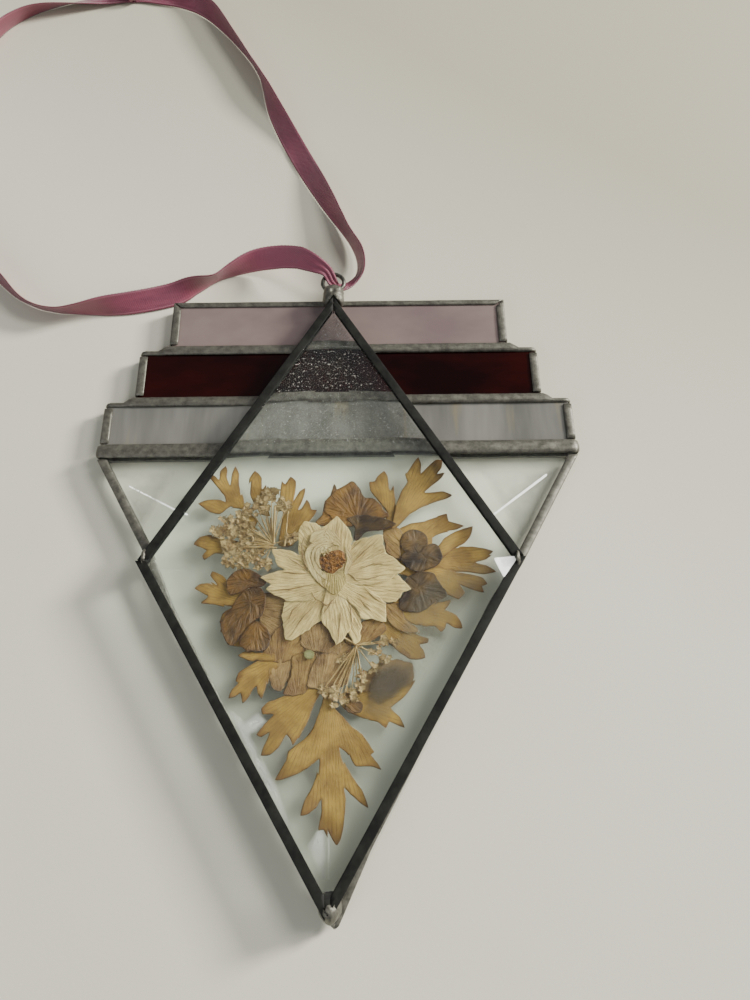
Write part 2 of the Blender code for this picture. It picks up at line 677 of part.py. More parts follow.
def diamond_edging_runs():
    """Return each strip of the diamond's edging: its name, ends and mitres."""
    corners = outer_diamond()
    inner = offset_outline(corners, 1.0)
    names = ("diamond_edging_lower_right", "diamond_edging_upper_right",
             "diamond_edging_upper_left", "diamond_edging_lower_left")
    rows = []
    for index, name in enumerate(names):
        following = (index + 1) % 4
        rows.append((name, corners[index], corners[following],
                     inner[index] - corners[index], inner[following] - corners[following]))
    return rows


def make_diamond_edging(finishes, parent, cutters):
    """Make the four strips of edging round the diamond."""
    low, high = DIAMOND_EDGING
    for name, start, end, mitre_start, mitre_end in diamond_edging_runs():
        section = crowned_section(EDGING_WIDTH, low, high, EDGING_CROWN)
        solid = add_solid(name, edging(section, start, end, mitre_start, mitre_end),
                          finishes["dark_edging"], parent, True)
        cut(solid, [cutters["diamond"]])


def ring_mesh(wire_radius):
    """Return a bmesh of the hanging ring, or of the room it needs."""
    bm = bmesh.new()
    bmesh.ops.create_circle(bm, segments=10, radius=wire_radius)
    bmesh.ops.rotate(bm, cent=(0, 0, 0), matrix=Matrix.Rotation(math.pi / 2, 3, "X"), verts=bm.verts)
    bmesh.ops.translate(bm, vec=(RING_RADIUS, 0, 0), verts=bm.verts)
    bmesh.ops.spin(bm, geom=bm.verts[:] + bm.edges[:], cent=(0, 0, 0), axis=(0, 0, 1),
                   angle=2 * math.pi, steps=40, use_merge=True)
    bmesh.ops.translate(bm, vec=RING_CENTRE, verts=bm.verts)
    return bm


def make_ring_and_joints(finishes, parent, cutters):
    """Make the wire ring, and the solder joints that hold the panes and the ring together."""
    add_solid("hanging_ring", ring_mesh(WIRE_RADIUS), finishes["ring_wire"], parent, True)
    rooms = [make_cutter("room_ring", ring_mesh(WIRE_RADIUS + GAP), parent)]
    low, high = DIAMOND_EDGING
    rooms.append(make_cutter("room_diamond_edging", prism(
        offset_outline(outer_diamond(), -GAP), low - GAP, high + GAP), parent))
    low, high = TRIANGLE_EDGING
    rooms.append(make_cutter("room_triangle_edging", prism(
        offset_outline(outer_triangle(), -GAP), low - GAP, high + GAP), parent))
    low, high = BAR_EDGING
    rooms.append(make_cutter("room_pink_edging", prism(
        offset_outline(bar_outlines()["pink"], -EDGING_WALL - 2 * GAP), low - GAP, high + GAP), parent))
    for name, (centre, radii) in JOINTS.items():
        solid = add_solid(name, blob(centre, radii), finishes["solder"], parent, True)
        cut(solid, rooms)


def make_plants(finishes, parent):
    """Make the leaves, petals, flower heart and umbels between the panes."""
    def layer(index):
        low = LOWEST_LAYER + index * LAYER_STEP
        return low, low + LAYER_THICKNESS

    for name, (level, foot, half_width, tips) in LEAVES.items():
        outline = in_millimetres(leaf_outline(foot, tips, half_width))
        add_solid(name, prism(outline, *layer(level)), finishes["dried_leaf"], parent)
    outline = in_millimetres(stalked_outline(BOTTOM_LEAF_FOOT, BOTTOM_LEAF_LOBES))
    add_solid("leaf_bottom", prism(outline, *layer(0)), finishes["dried_leaf"], parent)
    for index, (level, tip, half_width) in enumerate(WHITE_PETALS, 1):
        outline = in_millimetres(petal_outline(FLOWER_HEART, tip, half_width))
        add_solid(f"white_petal_{index:02d}", prism(outline, *layer(level)), finishes["white_petal"], parent)
    heart = in_millimetres(rippled_outline((-1.0, 83.4), 3.4, 2.6, 10.0, 8))
    add_solid("flower_heart", prism(heart, *layer(5)), finishes["flower_heart"], parent)
    for name, (level, centre, length, width, heading, ripples) in BROWN_PETALS.items():
        outline = in_millimetres(rippled_outline(centre, length, width, heading, ripples))
        add_solid(name, prism(outline, *layer(level)), finishes["brown_petal"], parent)
    for name, (level, foot, radius, florets) in UMBELS.items():
        outline = in_millimetres(umbel_outline(foot, florets, radius))
        add_solid(name, prism(outline, *layer(level)), finishes["umbel"], parent)


def ribbon_stations(points, steps):
    """Return the stations of the ribbon's closed loop in metres, from route points in mm."""
    stations = []
    for x, y, z, lean, gather in smooth_route(points, steps, True):
        gather = min(max(gather, 0.0), 1.0)
        width = RIBBON_WIDTH + (GATHER_WIDTH - RIBBON_WIDTH) * gather
        thickness = RIBBON_THICKNESS + (GATHER_THICKNESS - RIBBON_THICKNESS) * gather
        stations.append((x * MM, y * MM, z * MM, lean, width, thickness))
    return stations


def make_ribbon(finishes, parent):
    """Make the ribbon's loop through the ring, and the knot that closes it."""
    satin = finishes["ribbon_satin"]
    add_solid("ribbon", band(ribbon_stations(RIBBON_ROUTE, RIBBON_STEPS), True), satin, parent)
    knot = add_solid("ribbon_knot", blob(KNOT_CENTRE, KNOT_RADII), satin, parent, True)
    for name, tail in (("knot_tail_left", KNOT_TAIL), ("knot_tail_right", KNOT_OTHER_TAIL)):
        stations = [(x * MM, y * MM, z * MM, 0.0, TAIL_WIDTH, RIBBON_THICKNESS)
                    for x, y, z in smooth_route(tail, 4)]
        piece = make_cutter(name, band(stations, False), parent)
        joined = knot.modifiers.new("join_" + name, "BOOLEAN")
        joined.operation = "UNION"
        joined.solver = "EXACT"
        joined.object = piece
    room = [(x, y, z, lean, width + 4 * GAP, thickness + 2 * GAP)
            for x, y, z, lean, width, thickness in ribbon_stations(RIBBON_ROUTE, RIBBON_STEPS)]
    cut(knot, [make_cutter("room_ribbon", band(room, True), parent)])


def main():
    """Build the whole hanging under one parent that centres it."""
    clear_scene()
    finishes = make_finishes()
    hanging = bpy.data.objects.new("hanging", None)
    bpy.context.scene.collection.objects.link(hanging)
    bottom = (JOINTS["solder_joint_bottom"][0][1] - JOINTS["solder_joint_bottom"][1][1]) * MM
    top = RING_CENTRE.y + RING_RADIUS + WIRE_RADIUS
    hanging.location = (0.0, -(bottom + top) / 2, 0.0)
    cutters = make_glass(finishes, hanging)
    make_beads(finishes, hanging, cutters)
    make_back_edging(finishes, hanging, cutters)
    make_diamond_edging(finishes, hanging, cutters)
    make_ring_and_joints(finishes, hanging, cutters)
    make_plants(finishes, hanging)
    make_ribbon(finishes, hanging)


main()
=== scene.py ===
"""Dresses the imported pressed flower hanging: its glass, solder, dried plants, ribbon, floor and light.

Pieces are drawn in the panel's own frame, in mm, with (0, 0) at the bottom tip of the triangle and
height 0 on the table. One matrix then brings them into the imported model's frame, in metres.
"""

from __future__ import annotations

import logging
import math
import random
from dataclasses import dataclass, field
from enum import Enum

import bmesh
import bpy
from mathutils import Matrix, Vector, kdtree, noise


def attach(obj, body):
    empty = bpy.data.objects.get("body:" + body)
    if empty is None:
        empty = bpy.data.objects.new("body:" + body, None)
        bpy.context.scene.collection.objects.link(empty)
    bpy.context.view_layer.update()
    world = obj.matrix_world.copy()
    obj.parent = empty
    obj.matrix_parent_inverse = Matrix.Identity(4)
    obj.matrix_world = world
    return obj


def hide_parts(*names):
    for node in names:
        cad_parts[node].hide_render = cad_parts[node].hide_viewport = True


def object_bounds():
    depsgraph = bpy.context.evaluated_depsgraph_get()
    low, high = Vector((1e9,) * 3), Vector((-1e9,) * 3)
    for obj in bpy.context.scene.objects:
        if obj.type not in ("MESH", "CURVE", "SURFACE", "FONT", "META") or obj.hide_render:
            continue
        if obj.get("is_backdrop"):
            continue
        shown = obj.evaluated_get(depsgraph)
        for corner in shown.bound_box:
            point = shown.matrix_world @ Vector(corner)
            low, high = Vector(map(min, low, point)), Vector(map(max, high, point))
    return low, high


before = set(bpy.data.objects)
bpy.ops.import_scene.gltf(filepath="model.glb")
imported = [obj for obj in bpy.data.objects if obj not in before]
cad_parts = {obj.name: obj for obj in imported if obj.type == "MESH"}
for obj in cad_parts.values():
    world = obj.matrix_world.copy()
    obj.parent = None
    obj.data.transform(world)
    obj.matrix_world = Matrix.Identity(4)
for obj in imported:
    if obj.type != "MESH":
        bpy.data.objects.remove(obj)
log = logging.getLogger("hanging")

MM = 0.001
PANEL_MIDDLE = 88.175
PANEL_TO_WORLD = Matrix.Scale(MM, 4) @ Matrix.Translation((0.0, -PANEL_MIDDLE, 0.0))
WORLD_TO_PANEL = PANEL_TO_WORLD.inverted()

# Heights between the panes, in mm
LOWEST_LAYER = 5.2
LAYER_STEP = 0.42

Colour = tuple[float, float, float]


class Slot(Enum):
    """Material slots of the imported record."""

    CLEAR = "clear_glass"
    PINK = "pink_opal_glass"
    RUBY = "ruby_glass"
    WISPY = "wispy_glass"
    SOLDER = "solder"
    EDGING = "dark_edging"
    WIRE = "ring_wire"
    RIBBON = "ribbon_satin"
    LEAF = "dried_leaf"
    PETAL = "white_petal"
    HEART = "flower_heart"
    BROWN = "brown_petal"
    UMBEL = "umbel"


class Graph:
    """Adds nodes and links to one node tree."""

    def __init__(self, tree: bpy.types.NodeTree) -> None:
        """Keep the tree that the nodes go into."""
        self.tree = tree

    def put(self, socket: bpy.types.NodeSocket, value: object) -> None:
        """Give an input a value, or link it to another node's output.

        Args:
            socket: the input.
            value: a number, a colour, a vector or an output socket.
        """
        if isinstance(value, bpy.types.NodeSocket):
            self.tree.links.new(value, socket)
            return
        if socket.type == "RGBA" and len(value) == 3:
            value = (*value, 1.0)
        socket.default_value = value

    def add(self, kind: str, inputs: dict | None = None, **settings: object) -> bpy.types.Node:
        """Add a node.

        Args:
            kind: the node's type name.
            inputs: values or output sockets by input name or index.
            settings: the node's own options.

        Returns:
            The new node.
        """
        made = self.tree.nodes.new(kind)
        for name, value in settings.items():
            setattr(made, name, value)
        for name, value in (inputs or {}).items():
            self.put(made.inputs[name], value)
        return made

    def math(self, operation: str, first: object, second: object = 0.0) -> bpy.types.NodeSocket:
        """Return the output of a math node with two inputs."""
        return self.add("ShaderNodeMath", {0: first, 1: second}, operation=operation).outputs[0]

    def spread(self, value: object, low: float, high: float, start: float = 0.0,
               end: float = 1.0) -> bpy.types.NodeSocket:
        """Return a value mapped from low..high to start..end, and held at those ends."""
        inputs = {"Value": value, "From Min": low, "From Max": high, "To Min": start, "To Max": end}
        return self.add("ShaderNodeMapRange", inputs).outputs["Result"]

    def group(self, tree: bpy.types.NodeTree, inputs: dict) -> bpy.types.Node:
        """Return a node that runs a shader group on some inputs."""
        return self.add("ShaderNodeGroup", inputs, node_tree=tree)

    def attribute(self, name: str) -> bpy.types.NodeSocket:
        """Return the value that the mesh keeps under a name."""
        return self.add("ShaderNodeAttribute", attribute_name=name).outputs["Fac"]

    def mix(self, amount: object, first: object, second: object) -> bpy.types.NodeSocket:
        """Return a colour between two colours."""
        return self.add("ShaderNodeMix", {0: amount, 6: first, 7: second}, data_type="RGBA").outputs[2]

    def noise(self, place: object, scale: object, detail: float = 3.0,
              roughness: float = 0.55) -> bpy.types.NodeSocket:
        """Return the value of a noise texture at a place."""
        inputs = {"Vector": place, "Scale": scale, "Detail": detail, "Roughness": roughness}
        return self.add("ShaderNodeTexNoise", inputs).outputs["Fac"]

    def stretched(self, place: object, size: tuple[float, float, float]) -> bpy.types.NodeSocket:
        """Return a place with each axis scaled."""
        return self.add("ShaderNodeMapping", {"Vector": place, "Scale": size}).outputs["Vector"]


def make_group(name: str, inputs: list, outputs: list) -> tuple[Graph, dict, dict]:
    """Start a shader node group.

    Args:
        name: the group's name.
        inputs: rows of label, socket type and default value.
        outputs: rows of label and socket type.

    Returns:
        The group's graph, its input sockets and its output sockets, both by label.
    """
    tree = bpy.data.node_groups.new(name, "ShaderNodeTree")
    for label, kind, value in inputs:
        socket = tree.interface.new_socket(name=label, in_out="INPUT", socket_type=kind)
        if value is not None:
            socket.default_value = value
    for label, kind in outputs:
        tree.interface.new_socket(name=label, in_out="OUTPUT", socket_type=kind)
    graph = Graph(tree)
    entry = graph.add("NodeGroupInput")
    leave = graph.add("NodeGroupOutput")
    return (graph, {label: entry.outputs[label] for label, _, _ in inputs},
            {label: leave.inputs[label] for label, _ in outputs})


class Effects:
    """Shader node groups that several finishes share."""

    def __init__(self) -> None:
        """Build each group once."""
        self.tarnish = self.build_tarnish()
        self.fibres = self.build_fibres()
        self.blotches = self.build_blotches()

    def build_tarnish(self) -> bpy.types.NodeTree:
        """Build the group for uneven, dull metal.

        Returns:
            The group, which gives a colour, a roughness and a height.
        """
        graph, given, result = make_group(
            "tarnish",
            [("Vector", "NodeSocketVector", None), ("Scale", "NodeSocketFloat", 400.0),
             ("Bright", "NodeSocketColor", (0.5, 0.5, 0.48, 1.0)),
             ("Dark", "NodeSocketColor", (0.1, 0.1, 0.1, 1.0)),
             ("Smooth", "NodeSocketFloat", 0.3), ("Rough", "NodeSocketFloat", 0.6),
             ("Pits", "NodeSocketFloat", 0.5)],
            [("Color", "NodeSocketColor"), ("Roughness", "NodeSocketFloat"), ("Height", "NodeSocketFloat")])
        place = given["Vector"]
        broad = graph.noise(place, given["Scale"], 5.0, 0.62)
        fine_scale = graph.math("MULTIPLY", given["Scale"], 4.5)
        fine = graph.noise(place, fine_scale, 4.0, 0.6)
        cells = graph.add("ShaderNodeTexVoronoi", {"Vector": place, "Scale": graph.math(
            "MULTIPLY", given["Scale"], 1.9)}).outputs["Distance"]
        pit = graph.math("MULTIPLY", graph.spread(cells, 0.0, 0.16, 1.0, 0.0), given["Pits"])
        patch = graph.spread(graph.math("ADD", graph.math("MULTIPLY", broad, 0.7),
                                        graph.math("MULTIPLY", fine, 0.3)), 0.38, 0.62)
        shade = graph.mix(patch, given["Dark"], given["Bright"])
        graph.put(result["Color"], graph.mix(pit, shade, given["Dark"]))
        span = graph.math("SUBTRACT", given["Rough"], given["Smooth"])
        extra = graph.math("MULTIPLY", span, graph.spread(fine, 0.3, 0.7))
        graph.put(result["Roughness"], graph.math("ADD", given["Smooth"], extra))
        lumps = graph.math("ADD", broad, graph.math("MULTIPLY", fine, 0.35))
        graph.put(result["Height"], graph.math("SUBTRACT", lumps, graph.math("MULTIPLY", pit, 0.4)))
        return graph.tree

    def build_fibres(self) -> bpy.types.NodeTree:
        """Build the group for lines that run along a strip, such as veins.

        Returns:
            The group, which gives a mask and a height.
        """
        graph, given, result = make_group(
            "fibres",
            [("Strip", "NodeSocketVector", None), ("Count", "NodeSocketFloat", 1.5),
             ("Wander", "NodeSocketFloat", 1.0), ("Sharpness", "NodeSocketFloat", 3.0)],
            [("Mask", "NodeSocketFloat"), ("Height", "NodeSocketFloat")])
        parts = graph.add("ShaderNodeSeparateXYZ", {0: given["Strip"]})
        drift = graph.noise(graph.stretched(given["Strip"], (0.12, 0.5, 1.0)), 1.0, 3.0, 0.6)
        swing = graph.math("MULTIPLY", graph.math("SUBTRACT", drift, 0.5), given["Wander"])
        across = graph.math("ADD", graph.math("MULTIPLY", parts.outputs["Y"], given["Count"]), swing)
        wave = graph.math("ABSOLUTE", graph.math("SINE", graph.math("MULTIPLY", across, math.pi)))
        line = graph.math("POWER", graph.math("SUBTRACT", 1.0, wave), given["Sharpness"])
        breaks = graph.spread(graph.noise(graph.stretched(given["Strip"], (0.35, 1.6, 1.0)), 1.0, 4.0, 0.65),
                              0.38, 0.62)
        mask = graph.math("MULTIPLY", line, breaks)
        graph.put(result["Mask"], mask)
        crinkle = graph.noise(graph.stretched(given["Strip"], (0.5, 2.4, 1.0)), 1.0, 4.0, 0.6)
        graph.put(result["Height"], graph.math("SUBTRACT", crinkle, graph.math("MULTIPLY", mask, 0.5)))
        return graph.tree

    def build_blotches(self) -> bpy.types.NodeTree:
        """Build the group that blends two colours in soft patches.

        Returns:
            The group, which gives a colour and a mask.
        """
        graph, given, result = make_group(
            "blotches",
            [("Vector", "NodeSocketVector", None), ("Scale", "NodeSocketFloat", 100.0),
             ("First", "NodeSocketColor", (0.5, 0.5, 0.5, 1.0)),
             ("Second", "NodeSocketColor", (0.4, 0.4, 0.4, 1.0)),
             ("Low", "NodeSocketFloat", 0.4), ("High", "NodeSocketFloat", 0.6)],
            [("Color", "NodeSocketColor"), ("Mask", "NodeSocketFloat")])
        value = graph.noise(given["Vector"], given["Scale"], 4.0, 0.58)
        mask = graph.add("ShaderNodeMapRange", {"Value": value, "From Min": given["Low"],
                                                "From Max": given["High"]}).outputs["Result"]
        graph.put(result["Color"], graph.mix(mask, given["First"], given["Second"]))
        graph.put(result["Mask"], mask)
        return graph.tree


@dataclass(frozen=True)
class Finish:
    """A surface finish: its material's name and the record's slot."""

    name: str
    slot: Slot

    def material(self, effects: Effects) -> bpy.types.Material:
        """Return a new material of this finish.

        Args:
            effects: the shared node groups.

        Returns:
            The material.
        """
        made = bpy.data.materials.new(self.name)
        made.use_nodes = True
        graph = Graph(made.node_tree)
        self.dress(graph, made.node_tree.nodes["Principled BSDF"], effects)
        return made

    def dress(self, graph: Graph, shader: bpy.types.Node, effects: Effects) -> None:
        """Set up the shader; each finish has its own."""
        raise NotImplementedError

    def place(self, graph: Graph) -> bpy.types.NodeSocket:
        """Return the object's coordinates."""
        return graph.add("ShaderNodeTexCoord").outputs["Object"]

    def strip(self, graph: Graph) -> bpy.types.NodeSocket:
        """Return the piece's own map: along and across its fibres, in mm."""
        return graph.add("ShaderNodeUVMap", uv_map="strip").outputs["UV"]

    def hold(self, shader: bpy.types.Node, values: dict) -> None:
        """Set constants on the shader's own sockets, by name."""
        for name, value in values.items():
            shader.inputs[name].default_value = value

    def raise_bumps(self, graph: Graph, shader: bpy.types.Node, height: bpy.types.NodeSocket,
                    distance: float, strength: float = 1.0) -> None:
        """Give the shader a bump.

        Args:
            graph: the material's graph.
            shader: the Principled shader.
            height: the height map.
            distance: the height of a bump in mm.
            strength: how strongly it shows.
        """
        inputs = {"Height": height, "Distance": distance * MM, "Strength": strength}
        bump = graph.add("ShaderNodeBump", inputs)
        graph.put(shader.inputs["Normal"], bump.outputs["Normal"])


@dataclass(frozen=True)
class Glass(Finish):
    """Clear glass, which lets the light through to what lies under it."""

    tint: Colour = (0.930, 0.950, 0.940)
    shade: Colour = (0.71, 0.735, 0.725)
    smear: float = 0.035

    def dress(self, graph: Graph, shader: bpy.types.Node, effects: Effects) -> None:
        """Set up clear glass with faint smears and a light shadow.

        Args:
            graph: the material's graph.
            shader: the Principled shader.
            effects: the shared node groups.
        """
        place = self.place(graph)
        self.hold(shader, {"Transmission Weight": 1.0, "IOR": 1.5})
        graph.put(shader.inputs["Base Color"], self.tint)
        rough = graph.spread(graph.noise(place, 60.0, 5.0, 0.65), 0.45, 0.8, 0.0, self.smear)
        graph.put(shader.inputs["Roughness"], rough)
        self.let_light_through(graph, shader, self.shade)

    def let_light_through(self, graph: Graph, shader: bpy.types.Node, shade: Colour) -> None:
        """Let shadow rays pass with a tint.

        Args:
            graph: the material's graph.
            shader: the Principled shader.
            shade: the tint.
        """
        streaks = graph.noise(graph.stretched(self.place(graph), (1.0, 0.55, 1.0)), 62.0, 4.0, 0.6)
        glow = tuple(min(1.0, part * 1.32) for part in shade)
        dim = tuple(part * 0.80 for part in shade)
        tone = graph.mix(graph.spread(streaks, 0.36, 0.64), dim, glow)
        clear = graph.add("ShaderNodeBsdfTransparent", {"Color": tone})
        path = graph.add("ShaderNodeLightPath")
        both = graph.add("ShaderNodeMixShader", {0: path.outputs["Is Shadow Ray"]})
        graph.put(both.inputs[1], shader.outputs[0])
        graph.put(both.inputs[2], clear.outputs[0])
        graph.put(graph.tree.nodes["Material Output"].inputs["Surface"], both.outputs[0])


@dataclass(frozen=True)
class SheetGlass(Glass):
    """Coloured sheet glass, cloudy in streaks."""

    first: Colour = (0.6, 0.5, 0.55)
    second: Colour = (0.7, 0.6, 0.65)
    streaks: tuple[float, float, float] = (1.0, 0.3, 1.0)
    scale: float = 60.0
    low: float = 0.40
    high: float = 0.60
    passing: float = 0.2
    polish: float = 0.08
    ripple: float = 0.03
    gloss: float = 0.5
    accent: Colour = (0.5, 0.4, 0.3)
    accent_cover: float = 0.0

    def dress(self, graph: Graph, shader: bpy.types.Node, effects: Effects) -> None:
        """Set up glass whose colour clouds in streaks, with a gently rolled face.

        Args:
            graph: the material's graph.
            shader: the Principled shader.
            effects: the shared node groups.
        """
        place = graph.stretched(self.place(graph), self.streaks)
        clouds = graph.group(effects.blotches, {"Vector": place, "Scale": self.scale, "First": self.first,
                                                "Second": self.second, "Low": self.low, "High": self.high})
        thread = graph.spread(graph.noise(place, self.scale * 2.3, 2.0), 0.60, 0.72, 0.0, self.accent_cover)
        graph.put(shader.inputs["Base Color"], graph.mix(thread, clouds.outputs["Color"], self.accent))
        graph.put(shader.inputs["Roughness"], graph.spread(graph.noise(place, 90.0), 0.3, 0.7,
                                                           self.polish * 0.6, self.polish * 1.6))
        self.hold(shader, {"Transmission Weight": self.passing, "Specular IOR Level": self.gloss,
                           "IOR": 1.5})
        rolled = graph.noise(self.place(graph), 160.0, 2.0, 0.4)
        self.raise_bumps(graph, shader, rolled, self.ripple)
        self.let_light_through(graph, shader, self.shade)


@dataclass(frozen=True)
class DullMetal(Finish):
    """Solder, foil or tinned wire."""

    bright: Colour = (0.42, 0.42, 0.40)
    dark: Colour = (
        0.14,
        0.14,
        0.13,
    )
    smooth: float = 0.28
    rough: float = 0.55
    metallic: float = 0.9
    scale: float = 420.0
    pits: float = 0.5
    bump: float = 0.10
    gloss: float = 0.5

    def dress(self, graph: Graph, shader: bpy.types.Node, effects: Effects) -> None:
        """Set up uneven dull metal.

        Args:
            graph: the material's graph.
            shader: the Principled shader.
            effects: the shared node groups.
        """
        worn = graph.group(effects.tarnish, {
            "Vector": self.place(graph), "Scale": self.scale, "Bright": self.bright, "Dark": self.dark,
            "Smooth": self.smooth, "Rough": self.rough, "Pits": self.pits})
        graph.put(shader.inputs["Base Color"], worn.outputs["Color"])
        graph.put(shader.inputs["Roughness"], worn.outputs["Roughness"])
        self.hold(shader, {"Metallic": self.metallic, "Specular IOR Level": self.gloss})
        self.raise_bumps(graph, shader, worn.outputs["Height"], self.bump)


@dataclass(frozen=True)
class Dried(Finish):
    """A dried leaf or petal, with veins along its map."""

    middle: Colour = (0.5, 0.32, 0.12)
    other: Colour = (0.6, 0.4, 0.16)
    rim: Colour = (0.35, 0.2, 0.08)
    vein: Colour = (0.35, 0.22, 0.08)
    veins: float = 1.4
    wander: float = 1.2
    vein_strength: float = 0.5
    sharpness: float = 2.6
    rim_width: float = 0.35
    tip_strength: float = 0.5
    scale: float = 220.0
    bump: float = 0.08
    roughness: float = 0.62
    glow: float = 0.12

    def dress(self, graph: Graph, shader: bpy.types.Node, effects: Effects) -> None:
        """Set up a dry, thin plant with blotches, veins, and a darker rim and tip.

        Args:
            graph: the material's graph.
            shader: the Principled shader.
            effects: the shared node groups.
        """
        clouds = graph.group(effects.blotches, {
            "Vector": self.place(graph), "Scale": self.scale, "First": self.middle, "Second": self.other,
            "Low": 0.36, "High": 0.64})
        lines = graph.group(effects.fibres, {"Strip": self.strip(graph), "Count": self.veins,
                                             "Wander": self.wander, "Sharpness": self.sharpness})
        amount = graph.math("MULTIPLY", lines.outputs["Mask"], self.vein_strength)
        colour = graph.mix(amount, clouds.outputs["Color"], self.vein)
        edge = graph.spread(graph.attribute("rim"), 0.0, self.rim_width, 0.75, 0.0)
        colour = graph.mix(edge, colour, self.rim)
        end = graph.math("MULTIPLY", graph.spread(graph.attribute("tip"), 0.84, 1.0), self.tip_strength)
        graph.put(shader.inputs["Base Color"], graph.mix(end, colour, self.rim))
        self.hold(shader, {"Roughness": self.roughness, "Subsurface Weight": self.glow,
                           "Subsurface Radius": (0.6, 0.4, 0.2), "Subsurface Scale": 0.6 * MM,
                           "Specular IOR Level": 0.35})
        self.raise_bumps(graph, shader, lines.outputs["Height"], self.bump)


@dataclass(frozen=True)
class Satin(Finish):
    """Satin ribbon, with fine slanting ribs and a paler woven line by each edge."""

    face: Colour = (0.150, 0.019, 0.046)
    light: Colour = (0.225, 0.036, 0.074)
    edge: Colour = (0.44, 0.16, 0.21)
    # painted highlight: the lighter colour laid over the arch of the loop by the ring
    painted_highlight: Colour = (0.40, 0.10, 0.165)
    selvedge: Colour = (0.09, 0.016, 0.032)
    # where along the strip the painted highlight is centred and how far it reaches, in mm
    highlight_middle: float = 23.0
    highlight_reach: float = 24.0
    rib: float = 0.62
    thread: float = 0.19
    line_place: float = 2.95
    half_width: float = 3.5

    def dress(self, graph: Graph, shader: bpy.types.Node, effects: Effects) -> None:
        """Set up satin with ribs, sheen, painted sheen along the strip, a painted highlight on the arch and
        edge lines.

        Args:
            graph: the material's graph.
            shader: the Principled shader.
            effects: the shared node groups.
        """
        strip = self.strip(graph)
        parts = graph.add("ShaderNodeSeparateXYZ", {0: strip})
        along, across = parts.outputs["X"], parts.outputs["Y"]
        slant = graph.math("ADD", along, graph.math("MULTIPLY", across, 0.75))
        wave = graph.math("SINE", graph.math("MULTIPLY", slant, 2 * math.pi / self.rib))
        fine = graph.math("SINE", graph.math("MULTIPLY", along, 2 * math.pi / self.thread))
        # partly painted sheen: a broad blend along the strip between the darker and the lighter face colour,
        # which is also the satin's own uneven tone
        broad = graph.noise(graph.stretched(strip, (0.10, 0.5, 1.0)), 1.0, 3.0)
        colour = graph.mix(graph.spread(broad, 0.35, 0.65), self.face, self.light)
        colour = graph.mix(graph.spread(wave, -1.0, 1.0, 0.0, 0.26), colour, self.edge)
        # painted highlight: lighten the arch of the loop, where it catches the light
        arch = graph.math("ABSOLUTE", graph.math("SUBTRACT", along, self.highlight_middle))
        colour = graph.mix(graph.spread(arch, 4.0, self.highlight_reach, 0.55, 0.0), colour, self.painted_highlight)
        reach = graph.math("ABSOLUTE", across)
        from_line = graph.math("ABSOLUTE", graph.math("SUBTRACT", reach, self.line_place))
        line = graph.spread(from_line, 0.0, 0.22, 0.55, 0.0)
        rim = graph.spread(reach, self.half_width - 0.25, self.half_width, 0.0, 0.45)
        colour = graph.mix(line, colour, self.edge)
        graph.put(shader.inputs["Base Color"], graph.mix(rim, colour, self.selvedge))
        graph.put(shader.inputs["Roughness"], graph.spread(broad, 0.3, 0.7, 0.30, 0.44))
        self.hold(shader, {"Sheen Weight": 0.25, "Sheen Roughness": 0.4, "Specular IOR Level": 0.6})
        weave = graph.math("ADD", graph.math("MULTIPLY", wave, 0.5), graph.math("MULTIPLY", fine, 0.3))
        weave = graph.math("ADD", weave, graph.math("MULTIPLY", line, 1.2))
        self.raise_bumps(graph, shader, weave, 0.05)


@dataclass(frozen=True)
class Film(Finish):
    """A speckled see-through veil that thins out towards its rim: dust and damp, and also painted shade,
    painted highlights and painted light bent by the bevels.
    """

    colour: Colour = (0.3, 0.28, 0.22)
    cover: float = 0.4
    grain: float = 1800.0
    cloud: float = 120.0
    fade: float = 0.6
    sparkle: float = 0.0
    speckle: float = 0.55
    shine: float = 0.0

    def dress(self, graph: Graph, shader: bpy.types.Node, effects: Effects) -> None:
        """Set up a veil of specks.

        Args:
            graph: the material's graph.
            shader: the Principled shader.
            effects: the shared node groups.
        """
        place = self.place(graph)
        specks = graph.spread(graph.noise(place, self.grain, 2.0, 0.7), 0.45, 0.70)
        clouds = graph.spread(graph.noise(place, self.cloud, 4.0, 0.6), 0.34, 0.60, 0.35, 1.0)
        amount = graph.math("MULTIPLY", graph.spread(graph.attribute("rim"), 0.0, self.fade), clouds)
        amount = graph.math("MULTIPLY", amount, graph.spread(specks, 0.0, 1.0, 1.0 - self.speckle, 1.0))
        # bright: painted glints, pale specks where light catches the film
        bright = graph.spread(graph.noise(place, self.grain * 1.6, 1.0, 0.5), 0.62, 0.70)
        bright = graph.math("MULTIPLY", bright, self.sparkle)
        cover = graph.math("MULTIPLY", amount, self.cover)
        graph.put(shader.inputs["Alpha"], graph.math("MAXIMUM", cover, bright))
        colour = graph.mix(specks, tuple(part * (1.0 - self.speckle) for part in self.colour), self.colour)
        graph.put(shader.inputs["Base Color"], graph.mix(bright, colour, (0.7, 0.68, 0.62)))
        # shine makes the film glow, a painted highlight that the glints use
        self.hold(shader, {"Roughness": 0.8, "Specular IOR Level": 0.1,
                           "Emission Color": (1.0, 1.0, 0.97, 1.0), "Emission Strength": self.shine})


